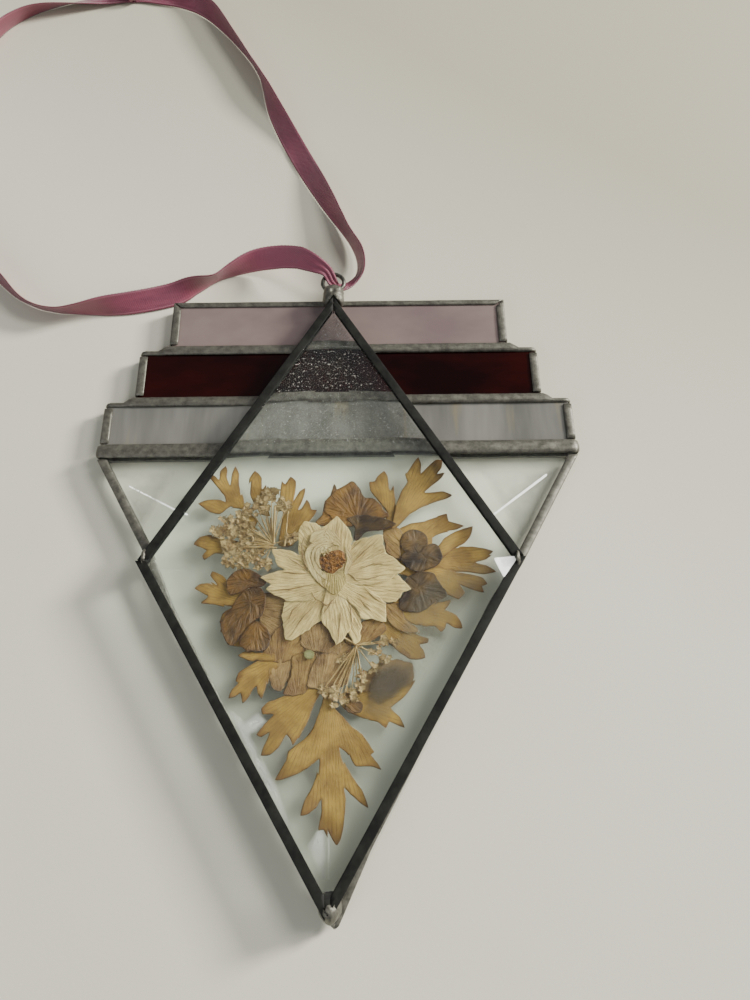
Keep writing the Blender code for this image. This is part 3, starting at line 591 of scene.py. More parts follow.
@dataclass(frozen=True)
class Board(Finish):
    """The pale floor."""

    colour: Colour = (0.80, 0.78, 0.63)
    # painted shade: the colour that the board darkens to towards its far right
    far: Colour = (0.52, 0.49, 0.37)

    def dress(self, graph: Graph, shader: bpy.types.Node, effects: Effects) -> None:
        """Set up a plain, pale, matt board, with painted shade that darkens it towards its far right.

        Args:
            graph: the material's graph.
            shader: the Principled shader.
            effects: the shared node groups.
        """
        place = self.place(graph)
        tone = graph.spread(graph.noise(place, 14.0, 5.0, 0.6), 0.3, 0.7)
        dim = tuple(part * 0.95 for part in self.colour)
        near = graph.mix(tone, self.colour, dim)
        parts = graph.add("ShaderNodeSeparateXYZ", {0: place})
        # painted shade: how far towards the far right a point lies
        reach = graph.math("ADD", parts.outputs["Y"], graph.math("MULTIPLY", parts.outputs["X"], 0.8))
        graph.put(shader.inputs["Base Color"], graph.mix(graph.spread(reach, 0.05, 0.22), near, self.far))
        self.hold(shader, {"Roughness": 0.6, "Specular IOR Level": 0.2})
        self.raise_bumps(graph, shader, graph.noise(place, 900.0, 3.0), 0.02)


class Finishes:
    """Every finish of the hanging."""

    clear = Glass("clear_plate", Slot.CLEAR)
    pink = SheetGlass("pink_opal", Slot.PINK, first=(0.185, 0.134, 0.130), second=(0.235, 0.178, 0.162),
                      shade=(0.30, 0.24, 0.25), streaks=(1.0, 1.6, 1.0), scale=26.0, passing=0.06,
                      polish=0.12, ripple=0.012)
    ruby = SheetGlass("ruby", Slot.RUBY, first=(0.007, 0.0006, 0.0004), second=(0.026, 0.0022, 0.0014),
                      shade=(0.05, 0.01, 0.01), streaks=(0.6, 1.4, 1.0), scale=40.0, low=0.46, high=0.70,
                      passing=0.1, polish=0.05, ripple=0.02, gloss=0.2)
    wispy = SheetGlass("wispy_white", Slot.WISPY, first=(0.155, 0.155, 0.138), second=(0.33, 0.325, 0.285),
                       shade=(0.5, 0.5, 0.49), streaks=(1.0, 0.14, 1.0), scale=80.0, low=0.36, high=0.74,
                       passing=0.25, polish=0.08, ripple=0.05, accent=(0.36, 0.29, 0.16), accent_cover=0.6)
    solder = DullMetal("tin_solder", Slot.SOLDER, bright=(0.195, 0.188, 0.152), dark=(0.090, 0.087, 0.070),
                       metallic=0.62, smooth=0.38, rough=0.60, scale=520.0, bump=0.06)
    edging = DullMetal("black_foil", Slot.EDGING, bright=(0.021, 0.0215, 0.0185),
                       dark=(0.0085, 0.0087, 0.0075), smooth=0.50, rough=0.66, metallic=0.0, scale=260.0,
                       pits=0.25, bump=0.04, gloss=0.16)
    wire = DullMetal("tinned_wire", Slot.WIRE, bright=(0.17, 0.165, 0.14), dark=(0.05, 0.05, 0.042),
                     scale=600.0, pits=0.4, bump=0.06, metallic=0.7)
    ribbon = Satin("mauve_satin", Slot.RIBBON)
    leaf = Dried("golden_leaf", Slot.LEAF, middle=(0.175, 0.098, 0.012), other=(0.345, 0.213, 0.034),
                 rim=(0.095, 0.038, 0.005), vein=(0.070, 0.029, 0.004), veins=1.25, wander=0.9,
                 vein_strength=0.9, sharpness=2.8, tip_strength=0.7, scale=170.0)
    white = Dried("cream_petal", Slot.PETAL, middle=(0.41, 0.30, 0.105), other=(0.60, 0.465, 0.185),
                  rim=(0.64, 0.52, 0.235), vein=(0.125, 0.080, 0.024), veins=1.35, wander=2.6, sharpness=3.4,
                  vein_strength=0.9, tip_strength=0.1, bump=0.20, rim_width=0.14)
    fold = Dried("folded_petal", Slot.PETAL, middle=(0.40, 0.30, 0.115), other=(0.56, 0.46, 0.21),
                 rim=(0.16, 0.095, 0.026), vein=(0.12, 0.07, 0.02), veins=2.0, wander=2.0, sharpness=2.6,
                 vein_strength=0.8, tip_strength=0.0, bump=0.18, rim_width=0.16)
    crease = Dried("crease_line", Slot.PETAL, middle=(0.17, 0.105, 0.034), other=(0.28, 0.19, 0.07),
                   rim=(0.24, 0.16, 0.06), vein=(0.10, 0.06, 0.02), tip_strength=0.0)
    pleats = Dried("green_pleats", Slot.PETAL, middle=(0.22, 0.155, 0.035), other=(0.40, 0.31, 0.10),
                   rim=(0.30, 0.22, 0.07), vein=(0.08, 0.038, 0.008), veins=1.8, wander=2.0,
                   vein_strength=0.85, tip_strength=0.0, bump=0.18)
    brown = Dried("umber_petal", Slot.BROWN, middle=(0.040, 0.018, 0.003), other=(0.165, 0.082, 0.011),
                  rim=(0.055, 0.022, 0.005), vein=(0.022, 0.009, 0.003), veins=1.3, wander=2.6,
                  vein_strength=0.8, tip_strength=0.1, scale=170.0, bump=0.20, roughness=0.42)
    dark = Dried("dark_petal", Slot.BROWN, middle=(0.018, 0.009, 0.002), other=(0.105, 0.056, 0.009),
                 rim=(0.034, 0.015, 0.004), vein=(0.012, 0.006, 0.002), veins=1.3, wander=2.6,
                 vein_strength=0.8, tip_strength=0.1, scale=190.0, bump=0.20, roughness=0.42)
    rust = Dried("rust_petal", Slot.BROWN, middle=(0.075, 0.034, 0.006), other=(0.235, 0.118, 0.016),
                 rim=(0.060, 0.026, 0.005), vein=(0.035, 0.014, 0.003), veins=1.3, wander=2.6,
                 vein_strength=0.8, tip_strength=0.1, scale=190.0, bump=0.20, roughness=0.48)
    tan = Dried("tan_petal", Slot.BROWN, middle=(0.120, 0.066, 0.018), other=(0.285, 0.180, 0.060),
                rim=(0.050, 0.024, 0.006), vein=(0.075, 0.036, 0.010), veins=1.1, wander=2.6,
                vein_strength=0.7, tip_strength=0.0, scale=230.0, bump=0.16, rim_width=0.20)
    ochre = Dried("ochre_petal", Slot.BROWN, middle=(0.135, 0.070, 0.016), other=(0.27, 0.165, 0.040),
                  rim=(0.060, 0.028, 0.006), vein=(0.05, 0.022, 0.006), veins=1.1, wander=2.6,
                  vein_strength=0.7, tip_strength=0.0, scale=210.0, bump=0.16, rim_width=0.25)
    floret = Dried("beige_floret", Slot.UMBEL, middle=(0.235, 0.150, 0.048), other=(0.46, 0.345, 0.145),
                   rim=(0.065, 0.030, 0.008), vein=(0.10, 0.05, 0.014), veins=2.2, wander=2.0, scale=420.0,
                   bump=0.12, tip_strength=0.0, rim_width=0.5)
    stalk = Dried("dry_stalk", Slot.UMBEL, middle=(0.22, 0.138, 0.040), other=(0.40, 0.29, 0.115),
                  rim=(0.22, 0.14, 0.04), vein=(0.10, 0.05, 0.014), veins=3.0, scale=400.0, bump=0.06,
                  tip_strength=0.0)
    stamen = Dried("rust_stamen", Slot.HEART, middle=(0.060, 0.020, 0.003), other=(0.30, 0.130, 0.014),
                   rim=(0.08, 0.028, 0.004), vein=(0.03, 0.012, 0.003), veins=2.0, scale=900.0, bump=0.10,
                   tip_strength=0.0)
    pollen = Dried("cream_pollen", Slot.HEART, middle=(0.34, 0.24, 0.08), other=(0.62, 0.52, 0.27),
                   rim=(0.3, 0.2, 0.07), vein=(0.14, 0.08, 0.02), veins=2.0, scale=900.0, bump=0.10,
                   tip_strength=0.0)
    scrap = Dried("green_scrap", Slot.LEAF, middle=(0.15, 0.165, 0.055), other=(0.25, 0.245, 0.10),
                  rim=(0.12, 0.10, 0.03), vein=(0.09, 0.08, 0.03), tip_strength=0.0)
    # dust: dark specks of dust, with painted glints from its sparkle
    dust = Film("dust", Slot.CLEAR, colour=(0.040, 0.027, 0.014), cover=0.24, grain=1000.0, sparkle=0.55)
    smudge = Film("damp", Slot.CLEAR, colour=(0.066, 0.046, 0.028), cover=0.66, grain=300.0, cloud=110.0,
                  fade=1.0, speckle=0.0)
    haze = Film("haze", Slot.CLEAR, colour=(0.17, 0.15, 0.105), cover=0.20, grain=1500.0, cloud=60.0,
                fade=0.9, speckle=0.35)
    # painted highlights: bright, glowing see-through lines and a patch that stand for reflections in the
    # bevels
    glint = Film("glint", Slot.CLEAR, colour=(1.0, 1.0, 0.97), cover=1.0, cloud=120.0, fade=0.04,
                 speckle=0.05, shine=0.9)
    # painted light: pale see-through patches and lines for light that the bevels bend onto the floor and
    # into the glass
    caustic_light = Film("painted_light_streak", Slot.CLEAR, colour=(0.90, 0.90, 0.83), cover=0.44, cloud=150.0, fade=0.8,
                speckle=0.1)
    # painted shade: a grey see-through sheet that darkens the glass where it lies
    veil = Film("painted_shade_veil", Slot.CLEAR, colour=(0.19, 0.195, 0.175), cover=0.24, cloud=45.0, grain=300.0,
                fade=1.0, speckle=0.2)
    board = Board("pale_board", Slot.CLEAR)


class Maker:
    """Turns finished meshes into pieces of the hanging."""

    def __init__(self) -> None:
        """Build the shared node groups."""
        self.effects = Effects()
        self.materials: dict[Finish, bpy.types.Material] = {}

    def material(self, finish: Finish) -> bpy.types.Material:
        """Return a finish's material, which is made once."""
        if finish not in self.materials:
            self.materials[finish] = finish.material(self.effects)
        return self.materials[finish]

    def piece(self, name: str, bm: bmesh.types.BMesh, finish: Finish, nodes: tuple[str, ...] = (),
              sharp: float = 50.0, thickness: float = 0.0) -> bpy.types.Object:
        """Make one piece from a mesh drawn in the panel's frame, in mm.

        Args:
            name: the piece's name.
            bm: the mesh, which is freed.
            finish: its finish.
            nodes: the CAD nodes that it stands for.
            sharp: the angle in degrees from which an edge stays sharp.
            thickness: the thickness in mm that a single sheet is given.

        Returns:
            The new object.
        """
        bmesh.ops.transform(bm, matrix=PANEL_TO_WORLD, verts=bm.verts)
        mesh = bpy.data.meshes.new(name)
        bm.to_mesh(mesh)
        bm.free()
        mesh.shade_smooth()
        mesh.set_sharp_from_angle(angle=math.radians(sharp))
        made = bpy.data.objects.new(name, mesh)
        bpy.context.scene.collection.objects.link(made)
        mesh.materials.append(self.material(finish))
        if thickness:
            wall = made.modifiers.new("wall", "SOLIDIFY")
            wall.thickness = thickness * MM
            wall.offset = 0.0
        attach(made, "root")
        if nodes:
            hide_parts(*nodes)
        log.info("%s: %d faces, finish %s", name, len(mesh.polygons), finish.name)
        return made

    def dress_node(self, node: str, finish: Finish) -> None:
        """Give a CAD node its finish.

        Args:
            node: the CAD node's name.
            finish: its finish.
        """
        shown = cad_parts[node]
        shown.data.materials.clear()
        shown.data.materials.append(self.material(finish))
        log.info("%s: CAD node, finish %s", node, finish.name)

    def copy_node(self, node: str) -> bmesh.types.BMesh:
        """Return a merged copy of a CAD node's mesh, in the panel's frame.

        Args:
            node: the CAD node's name.

        Returns:
            The copy.
        """
        bm = bmesh.new()
        bm.from_mesh(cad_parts[node].data)
        bmesh.ops.transform(bm, matrix=WORLD_TO_PANEL, verts=bm.verts)
        bmesh.ops.remove_doubles(bm, verts=bm.verts, dist=0.002)
        for layer in list(bm.loops.layers.uv):
            bm.loops.layers.uv.remove(layer)
        return bm


def unevenness(place: Vector, size: float, seed: float = 0.0) -> float:
    """Return smooth noise between about -1 and 1, for bumps of a size in mm."""
    return noise.noise(place / size + Vector((seed, seed * 0.7, seed * 1.3)))


def slice_along(bm: bmesh.types.BMesh, axis: Vector, pitch: float) -> None:
    """Cut a mesh across an axis at even steps.

    Args:
        bm: the mesh.
        axis: the direction, of length 1.
        pitch: the step in mm.
    """
    reach = [vert.co.dot(axis) for vert in bm.verts]
    low = min(reach)
    span = max(reach) - low
    count = int(span / pitch)
    for index in range(1, count):
        level = low + span * index / count
        ahead = [face for face in bm.faces if max(vert.co.dot(axis) for vert in face.verts) > level - 1e-4]
        around = {edge for face in ahead for edge in face.edges}
        corners = {vert for face in ahead for vert in face.verts}
        bmesh.ops.bisect_plane(bm, geom=[*corners, *around, *ahead], dist=1e-4, plane_co=axis * level,
                               plane_no=axis)


@dataclass
class SolderWork:
    """The solder beads, edgings, joints and ring, each from its CAD node, with an uneven surface."""

    bead_lump: float = 0.16
    edging_lump: float = 0.10
    joint_lump: float = 0.22
    beads: tuple[str, ...] = ("bead_pink_to_ruby", "bead_ruby_to_white", "bead_white_to_triangle")
    bars: tuple[str, ...] = ("pink_edging_left", "pink_edging_right", "pink_edging_top",
                             "ruby_edging_left", "ruby_edging_right",
                             "white_edging_left", "white_edging_right")
    sides: tuple[str, ...] = ("triangle_edging_left", "triangle_edging_right")
    diamond: tuple[str, ...] = ("diamond_edging_lower_left", "diamond_edging_lower_right",
                                "diamond_edging_upper_left", "diamond_edging_upper_right")
    ends: tuple = (("bead_pink_to_ruby", 51.4), ("bead_ruby_to_white", 59.8))
    wire_radius: float = 0.62
    ring_radius: float = 3.2
    ring_middle: tuple[float, float, float] = (-1.6, 172.9, 8.0)
    foil_middle: float = 10.5
    foil_flatness: float = 0.25
    foil_outward: float = 0.55
    top_share: float = 0.72
    tuck_start: float = 84.0
    tuck_reach: dict[float, float] = field(default_factory=lambda: {1.0: 1.25, -1.0: -1.1})
    shifts: dict[str, float] = field(default_factory=lambda: {
        "solder_joint_left": 1.1, "solder_joint_right": -1.2})
    joint_sizes: dict[str, tuple[float, float]] = field(default_factory=lambda: {
        "solder_joint_left": (0.50, 0.90), "solder_joint_right": (0.44, 0.85),
        "solder_joint_bottom": (0.80, 0.76), "solder_neck": (1.75, 1.15)})

    def build(self, maker: Maker) -> None:
        """Make every piece of metal.

        Args:
            maker: makes the pieces.
        """
        for node in self.beads:
            self.strip(maker, node, Finishes.solder, self.bead_lump, 2.6, 1.3)
        for node in self.bars + self.sides:
            self.strip(maker, node, Finishes.solder, self.edging_lump, 3.4, 1.6)
        for node in self.diamond:
            self.strip(maker, node, Finishes.edging, self.edging_lump * 0.35, 5.0, 2.4)
        for node in self.joint_sizes:
            self.joint(maker, node)
        self.ring(maker)

    def strip(self, maker: Maker, node: str, finish: Finish, lump: float, size: float, pitch: float) -> None:
        """Make a strip or bead whose front and back swell unevenly.

        Args:
            maker: makes the piece.
            node: the CAD node.
            finish: its finish.
            lump: the height of a swelling in mm.
            size: the length of a swelling in mm.
            pitch: the spacing of the cuts across it.
        """
        bm = maker.copy_node(node)
        xs = [vert.co.x for vert in bm.verts]
        ys = [vert.co.y for vert in bm.verts]
        wide = max(xs) - min(xs)
        tall = max(ys) - min(ys)
        left_low = min(bm.verts, key=lambda vert: vert.co.x).co
        right_low = max(bm.verts, key=lambda vert: vert.co.x).co
        slope = 1.0 if (right_low.y - left_low.y) > 0 else -1.0
        axis = Vector((wide, slope * tall if min(wide, tall) > 6.0 else 0.0, 0.0)).normalized()
        if tall > wide and min(wide, tall) <= 6.0:
            axis = Vector((0.0, 1.0, 0.0))
        slice_along(bm, axis, pitch)
        for name, reach in self.ends:
            if name == node:
                self.thin_ends(bm, reach, min(ys))
        if node in self.sides:
            self.tuck(bm)
        if node == "pink_edging_top":
            for vert in bm.verts:
                vert.co.y = max(ys) - (max(ys) - vert.co.y) * self.top_share
        if node in self.diamond:
            self.press_foil(bm, node)
        low = min(vert.co.z for vert in bm.verts)
        high = max(vert.co.z for vert in bm.verts)
        middle = (low + high) / 2
        half = (high - low) / 2
        for vert in bm.verts:
            lift = (vert.co.z - middle) / half
            weight = max(0.0, abs(lift) - 0.55) / 0.45
            swell = lump * weight * (unevenness(vert.co, size) + 0.4 * unevenness(vert.co, size * 0.4, 7.0))
            vert.co.z += swell * (1.0 if lift > 0 else -1.0)
            vert.co.z = max(vert.co.z, 0.02)
        maker.piece(node.replace("edging", "seam").replace("bead", "solder_run"), bm, finish, (node,), 38.0)

    def thin_ends(self, bm: bmesh.types.BMesh, reach: float, foot: float) -> None:
        """Thin a bead where it runs on past the narrower bar.

        Args:
            bm: the bead.
            reach: how far from the middle the narrower bar reaches, in mm.
            foot: the lower edge of the bead.
        """
        for vert in bm.verts:
            past = min(max((abs(vert.co.x) - reach) / 1.6, 0.0), 1.0)
            vert.co.y = foot + (vert.co.y - foot) * (1.0 - 0.52 * past)
            vert.co.z = 2.7 + (vert.co.z - 2.7) * (1.0 - 0.16 * past)

    def tuck(self, bm: bmesh.types.BMesh) -> None:
        """Draw the triangle's lower edging in under the front pane's on the right, and out on the left.

        Args:
            bm: the edging.
        """
        for vert in bm.verts:
            below = min(max((self.tuck_start - vert.co.y) / 10.0, 0.0), 1.0)
            below *= min(max((vert.co.y - 2.0) / 14.0, 0.0), 1.0)
            side = 1.0 if vert.co.x > 0 else -1.0
            vert.co += Vector((-0.866 * side, 0.5, 0.0)) * self.tuck_reach[side] * below
            vert.co.y = max(vert.co.y, 0.9)

    def press_foil(self, bm: bmesh.types.BMesh, node: str) -> None:
        """Press the front pane's foil flat, and draw its lower sides a little outward.

        Args:
            bm: the foil.
            node: its CAD node.
        """
        outward = 0.0
        if "lower" in node:
            outward = self.foil_outward if node.endswith("right") else -self.foil_outward
        for vert in bm.verts:
            pressed = self.foil_middle + (vert.co.z - self.foil_middle) * self.foil_flatness
            vert.co.z = min(vert.co.z, pressed)
            vert.co.x += outward

    def joint(self, maker: Maker, node: str) -> None:
        """Make a solder joint with a lumpy skin.

        Args:
            maker: makes the piece.
            node: the CAD node.
        """
        bm = maker.copy_node(node)
        for axis in (Vector((1.0, 0.0, 0.0)), Vector((0.0, 1.0, 0.0)), Vector((0.0, 0.0, 1.0))):
            slice_along(bm, axis, 0.8)
        bmesh.ops.triangulate(bm, faces=bm.faces[:])
        low = Vector(min(vert.co[axis] for vert in bm.verts) for axis in range(3))
        high = Vector(max(vert.co[axis] for vert in bm.verts) for axis in range(3))
        middle = (low + high) / 2
        wide, tall = self.joint_sizes[node]
        for vert in bm.verts:
            vert.co.x = middle.x + (vert.co.x - middle.x) * wide + self.shifts.get(node, 0.0)
            if node == "solder_joint_bottom":
                vert.co.y = high.y + (vert.co.y - high.y) * tall
                self.point(vert, low, middle)
            else:
                vert.co.y = middle.y + (vert.co.y - middle.y) * tall
            if node == "solder_neck":
                self.waist(vert, middle, high)
        bm.normal_update()
        for vert in bm.verts:
            weight = 1.0 if vert.co.z > high.z - 3.0 else 0.3
            vert.co += vert.normal * self.joint_lump * weight * (unevenness(vert.co, 1.4, 3.0)
                                                                 + 0.5 * unevenness(vert.co, 0.6, 9.0))
            vert.co.z = max(vert.co.z, 0.02)
        maker.piece(node + "_lump", bm, Finishes.solder, (node,), 50.0)

    def point(self, vert: bmesh.types.BMVert, low: Vector, middle: Vector) -> None:
        """Draw a joint in towards its lower end.

        Args:
            vert: one of its vertices.
            low: its lowest corner.
            middle: its middle.
        """
        down = min(max((middle.y - vert.co.y) / (middle.y - low.y), 0.0), 1.0)
        vert.co.x = middle.x + (vert.co.x - middle.x) * (1.0 - 0.55 * down)

    def waist(self, vert: bmesh.types.BMVert, middle: Vector, high: Vector) -> None:
        """Give the neck a waist, and a pit in its front.

        Args:
            vert: one of its vertices.
            middle: its middle.
            high: its highest corner.
        """
        share = (vert.co.y - middle.y) / (high.y - middle.y)
        vert.co.x = middle.x + (vert.co.x - middle.x) * (0.74 + 0.34 * min(share * share, 1.0))
        pit = math.exp(-((vert.co.x - middle.x) ** 2 + (vert.co.y - middle.y) ** 2) / 0.45)
        vert.co.z -= 0.9 * pit * (1.0 if vert.co.z > middle.z else 0.0)

    def ring(self, maker: Maker) -> None:
        """Make the wire ring, with drops of solder where it is held.

        Args:
            maker: makes the piece.
        """
        bm = bmesh.new()
        bmesh.ops.create_circle(bm, segments=16, radius=self.wire_radius)
        bmesh.ops.rotate(bm, cent=(0, 0, 0), matrix=Matrix.Rotation(math.pi / 2, 3, "X"), verts=bm.verts)
        bmesh.ops.translate(bm, vec=(self.ring_radius, 0, 0), verts=bm.verts)
        bmesh.ops.spin(bm, geom=bm.verts[:] + bm.edges[:], cent=(0, 0, 0), axis=(0, 0, 1),
                       angle=2 * math.pi, steps=72, use_merge=True)
        bmesh.ops.translate(bm, vec=self.ring_middle, verts=bm.verts)
        bmesh.ops.recalc_face_normals(bm, faces=bm.faces)
        bm.normal_update()
        for vert in bm.verts:
            vert.co += vert.normal * 0.05 * unevenness(vert.co, 1.1)
        maker.piece("wire_ring", bm, Finishes.wire, ("hanging_ring",), 60.0)


def rounded(points: list[tuple[float, float]], steps: int = 5, pull: float = 1.0) -> list[Vector]:
    """Return a smooth closed outline through a few points.

    Args:
        points: the points, in mm.
        steps: how many points each stretch gets.
        pull: how round the corners are; 0 keeps them sharp.

    Returns:
        The outline.
    """
    corners = [Vector(point) for point in points]
    count = len(corners)
    outline = []
    for index in range(count):
        a, b, c, d = (corners[(index + shift) % count] for shift in (-1, 0, 1, 2))
        leave = (c - a) * 0.5 * pull
        reach = (d - b) * 0.5 * pull
        for step in range(steps):
            t = step / steps
            outline.append(b * (2 * t ** 3 - 3 * t ** 2 + 1) + leave * (t ** 3 - 2 * t ** 2 + t)
                           + c * (3 * t ** 2 - 2 * t ** 3) + reach * (t ** 3 - t ** 2))
    return outline


def band(points: tuple, width: float) -> list[Vector]:
    """Return the outline of a thin band along a path, pointed at both ends.

    Args:
        points: the path, in mm.
        width: its width in the middle.

    Returns:
        The outline.
    """
    path = [Vector(point) for point in points]
    left, right = [], []
    for index, place in enumerate(path[1:-1], 1):
        ahead = (path[index + 1] - path[index - 1]).normalized()
        side = Vector((-ahead.y, ahead.x)) * width / 2
        left.append(place + side)
        right.append(place - side)
    return [path[0], *right, path[-1], *reversed(left)]


def fill(outline: list[Vector], reach: float) -> bmesh.types.BMesh:
    """Return a flat mesh of an outline's area in small, even triangles.

    Args:
        outline: the outline, in mm.
        reach: the longest edge that it may keep.

    Returns:
        The mesh.
    """
    bm = bmesh.new()
    face = bm.faces.new([bm.verts.new((point.x, point.y, 0.0)) for point in outline])
    bm.normal_update()
    bmesh.ops.triangulate(bm, faces=[face], ngon_method="EAR_CLIP")
    bm.normal_update()
    if sum(face.normal.z for face in bm.faces) < 0:
        bmesh.ops.reverse_faces(bm, faces=bm.faces[:])
    for _ in range(9):
        long_edges = [edge for edge in bm.edges if edge.calc_length() > reach]
        if not long_edges:
            break
        bmesh.ops.subdivide_edges(bm, edges=long_edges, cuts=1)
        bmesh.ops.triangulate(bm, faces=bm.faces[:])
        inner = [edge for edge in bm.edges if len(edge.link_faces) == 2]
        bmesh.ops.beautify_fill(bm, faces=bm.faces[:], edges=inner)
    inside = [vert for vert in bm.verts if not vert.is_boundary]
    bmesh.ops.smooth_vert(bm, verts=inside, factor=0.5, use_axis_x=True, use_axis_y=True)
    return bm


@dataclass
class PressedSheet:
    """A dried leaf or petal: a thin sheet with ribs, gentle waves and a rim."""

    name: str
    outline: list[Vector]
    ribs: list[tuple[Vector, Vector]]
    height: float
    finish: Finish
    nodes: tuple[str, ...] = ()
    wave: float = 0.10
    wave_size: float = 5.0
    wrinkle: float = 0.0
    wrinkle_pitch: float = 1.6
    ragged: float = 0.12
    fineness: float = 0.55
    thickness: float = 0.12
    fan: bool = False
    seed: float = 0.0

    def build(self, maker: Maker) -> bpy.types.Object:
        """Make the sheet.

        Args:
            maker: makes the piece.

        Returns:
            The new object.
        """
        bm = fill(self.tear(), self.fineness)
        self.map_fibres(bm)
        rim = bm.verts.layers.float.new("rim")
        tip = bm.verts.layers.float.new("tip")
        border = [vert for vert in bm.verts if vert.is_boundary]
        tree = kdtree.KDTree(len(border))
        for index, vert in enumerate(border):
            tree.insert(vert.co, index)
        tree.balance()
        for vert in bm.verts:
            flat = vert.co.copy()
            along, across, length = self.measure(flat)
            inset = tree.find(flat)[2]
            vert[rim] = min(inset / 2.0, 1.0)
            vert[tip] = min(max(along / length, 0.0), 1.0)
            lift = self.wave * unevenness(flat, self.wave_size, self.seed)
            lift += self.wave * 0.45 * unevenness(flat, self.wave_size * 0.35, self.seed + 4.0)
            if self.wrinkle:
                bend = across + 0.9 * unevenness(flat, 4.0, self.seed + 9.0)
                lift += self.wrinkle * math.sin(2 * math.pi * bend / self.wrinkle_pitch) * min(inset, 1.0)
            vert.co.z = self.height + lift
        return maker.piece(self.name, bm, self.finish, self.nodes, 70.0, self.thickness)

    def tear(self) -> list[Vector]:
        """Roughen the outline.

        Returns:
            The outline in short steps, with a slightly ragged line.
        """
        points = []
        count = len(self.outline)
        for index in range(count):
            start = self.outline[index]
            end = self.outline[(index + 1) % count]
            steps = max(1, int((end - start).length / (self.fineness * 1.2)))
            for step in range(steps):
                point = start.lerp(end, step / steps)
                flat = Vector((point.x, point.y, self.seed))
                shift = Vector((unevenness(flat, 1.5, 1.0), unevenness(flat, 1.5, 5.0)))
                points.append(point + shift * self.ragged)
        return points

    def nearest_rib(self, flat: Vector) -> tuple[Vector, Vector]:
        """Find the rib that a point lies closest to.

        Args:
            flat: the point.

        Returns:
            The rib's start and end.
        """
        def gap(rib: tuple[Vector, Vector]) -> float:
            """Return how far the point lies from a rib."""
            start, end = rib
            way = end - start
            t = min(max((flat.xy - start).dot(way) / way.length_squared, 0.0), 1.0)
            return (flat.xy - start - way * t).length
        return min(self.ribs, key=gap)

    def measure(self, flat: Vector, rib: tuple[Vector, Vector] | None = None) -> tuple[float, float, float]:
        """Measure a point against a rib.

        Args:
            flat: the point.
            rib: the rib, or None for the nearest one.

        Returns:
            How far it lies along and across the rib, and the rib's length, in mm.
        """
        start, end = rib or self.nearest_rib(flat)
        way = end - start
        length = way.length
        way = way / length
        along = (flat.xy - start).dot(way)
        across = (flat.xy - start).dot(Vector((-way.y, way.x)))
        if self.fan:
            across = across * length / (max(along, 0.0) + 0.35 * length)
        return along, across, length

    def map_fibres(self, bm: bmesh.types.BMesh) -> None:
        """Give each face a map along and across its own rib, in mm.

        Args:
            bm: the sheet's mesh.
        """
        layer = bm.loops.layers.uv.new("strip")
        for face in bm.faces:
            rib = self.nearest_rib(face.calc_center_median())
            for loop in face.loops:
                along, across, _ = self.measure(loop.vert.co, rib)
                loop[layer].uv = (along + self.seed * 3.0, across)


@dataclass(frozen=True)
class Leaf:
    """A leaf: its layer, the foot of its stalk, its outline and which outline points end a rib."""

    name: str
    layer: float
    foot: tuple[float, float]
    outline: tuple[tuple[float, float], ...]
    tips: tuple[int, ...]

    def build(self, maker: Maker, seed: float) -> None:
        """Make the leaf.

        Args:
            maker: makes the piece.
            seed: sets its waves.
        """
        foot = Vector(self.foot)
        ribs = [(foot, Vector(self.outline[index])) for index in self.tips]
        nodes = (self.name,) if self.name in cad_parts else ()
        PressedSheet(self.name + "_blade", rounded(self.outline, 3, 0.45), ribs,
                     LOWEST_LAYER + self.layer * LAYER_STEP, Finishes.leaf, nodes, wave=0.09,
                     wave_size=5.0, ragged=0.10, fan=True, seed=seed).build(maker)


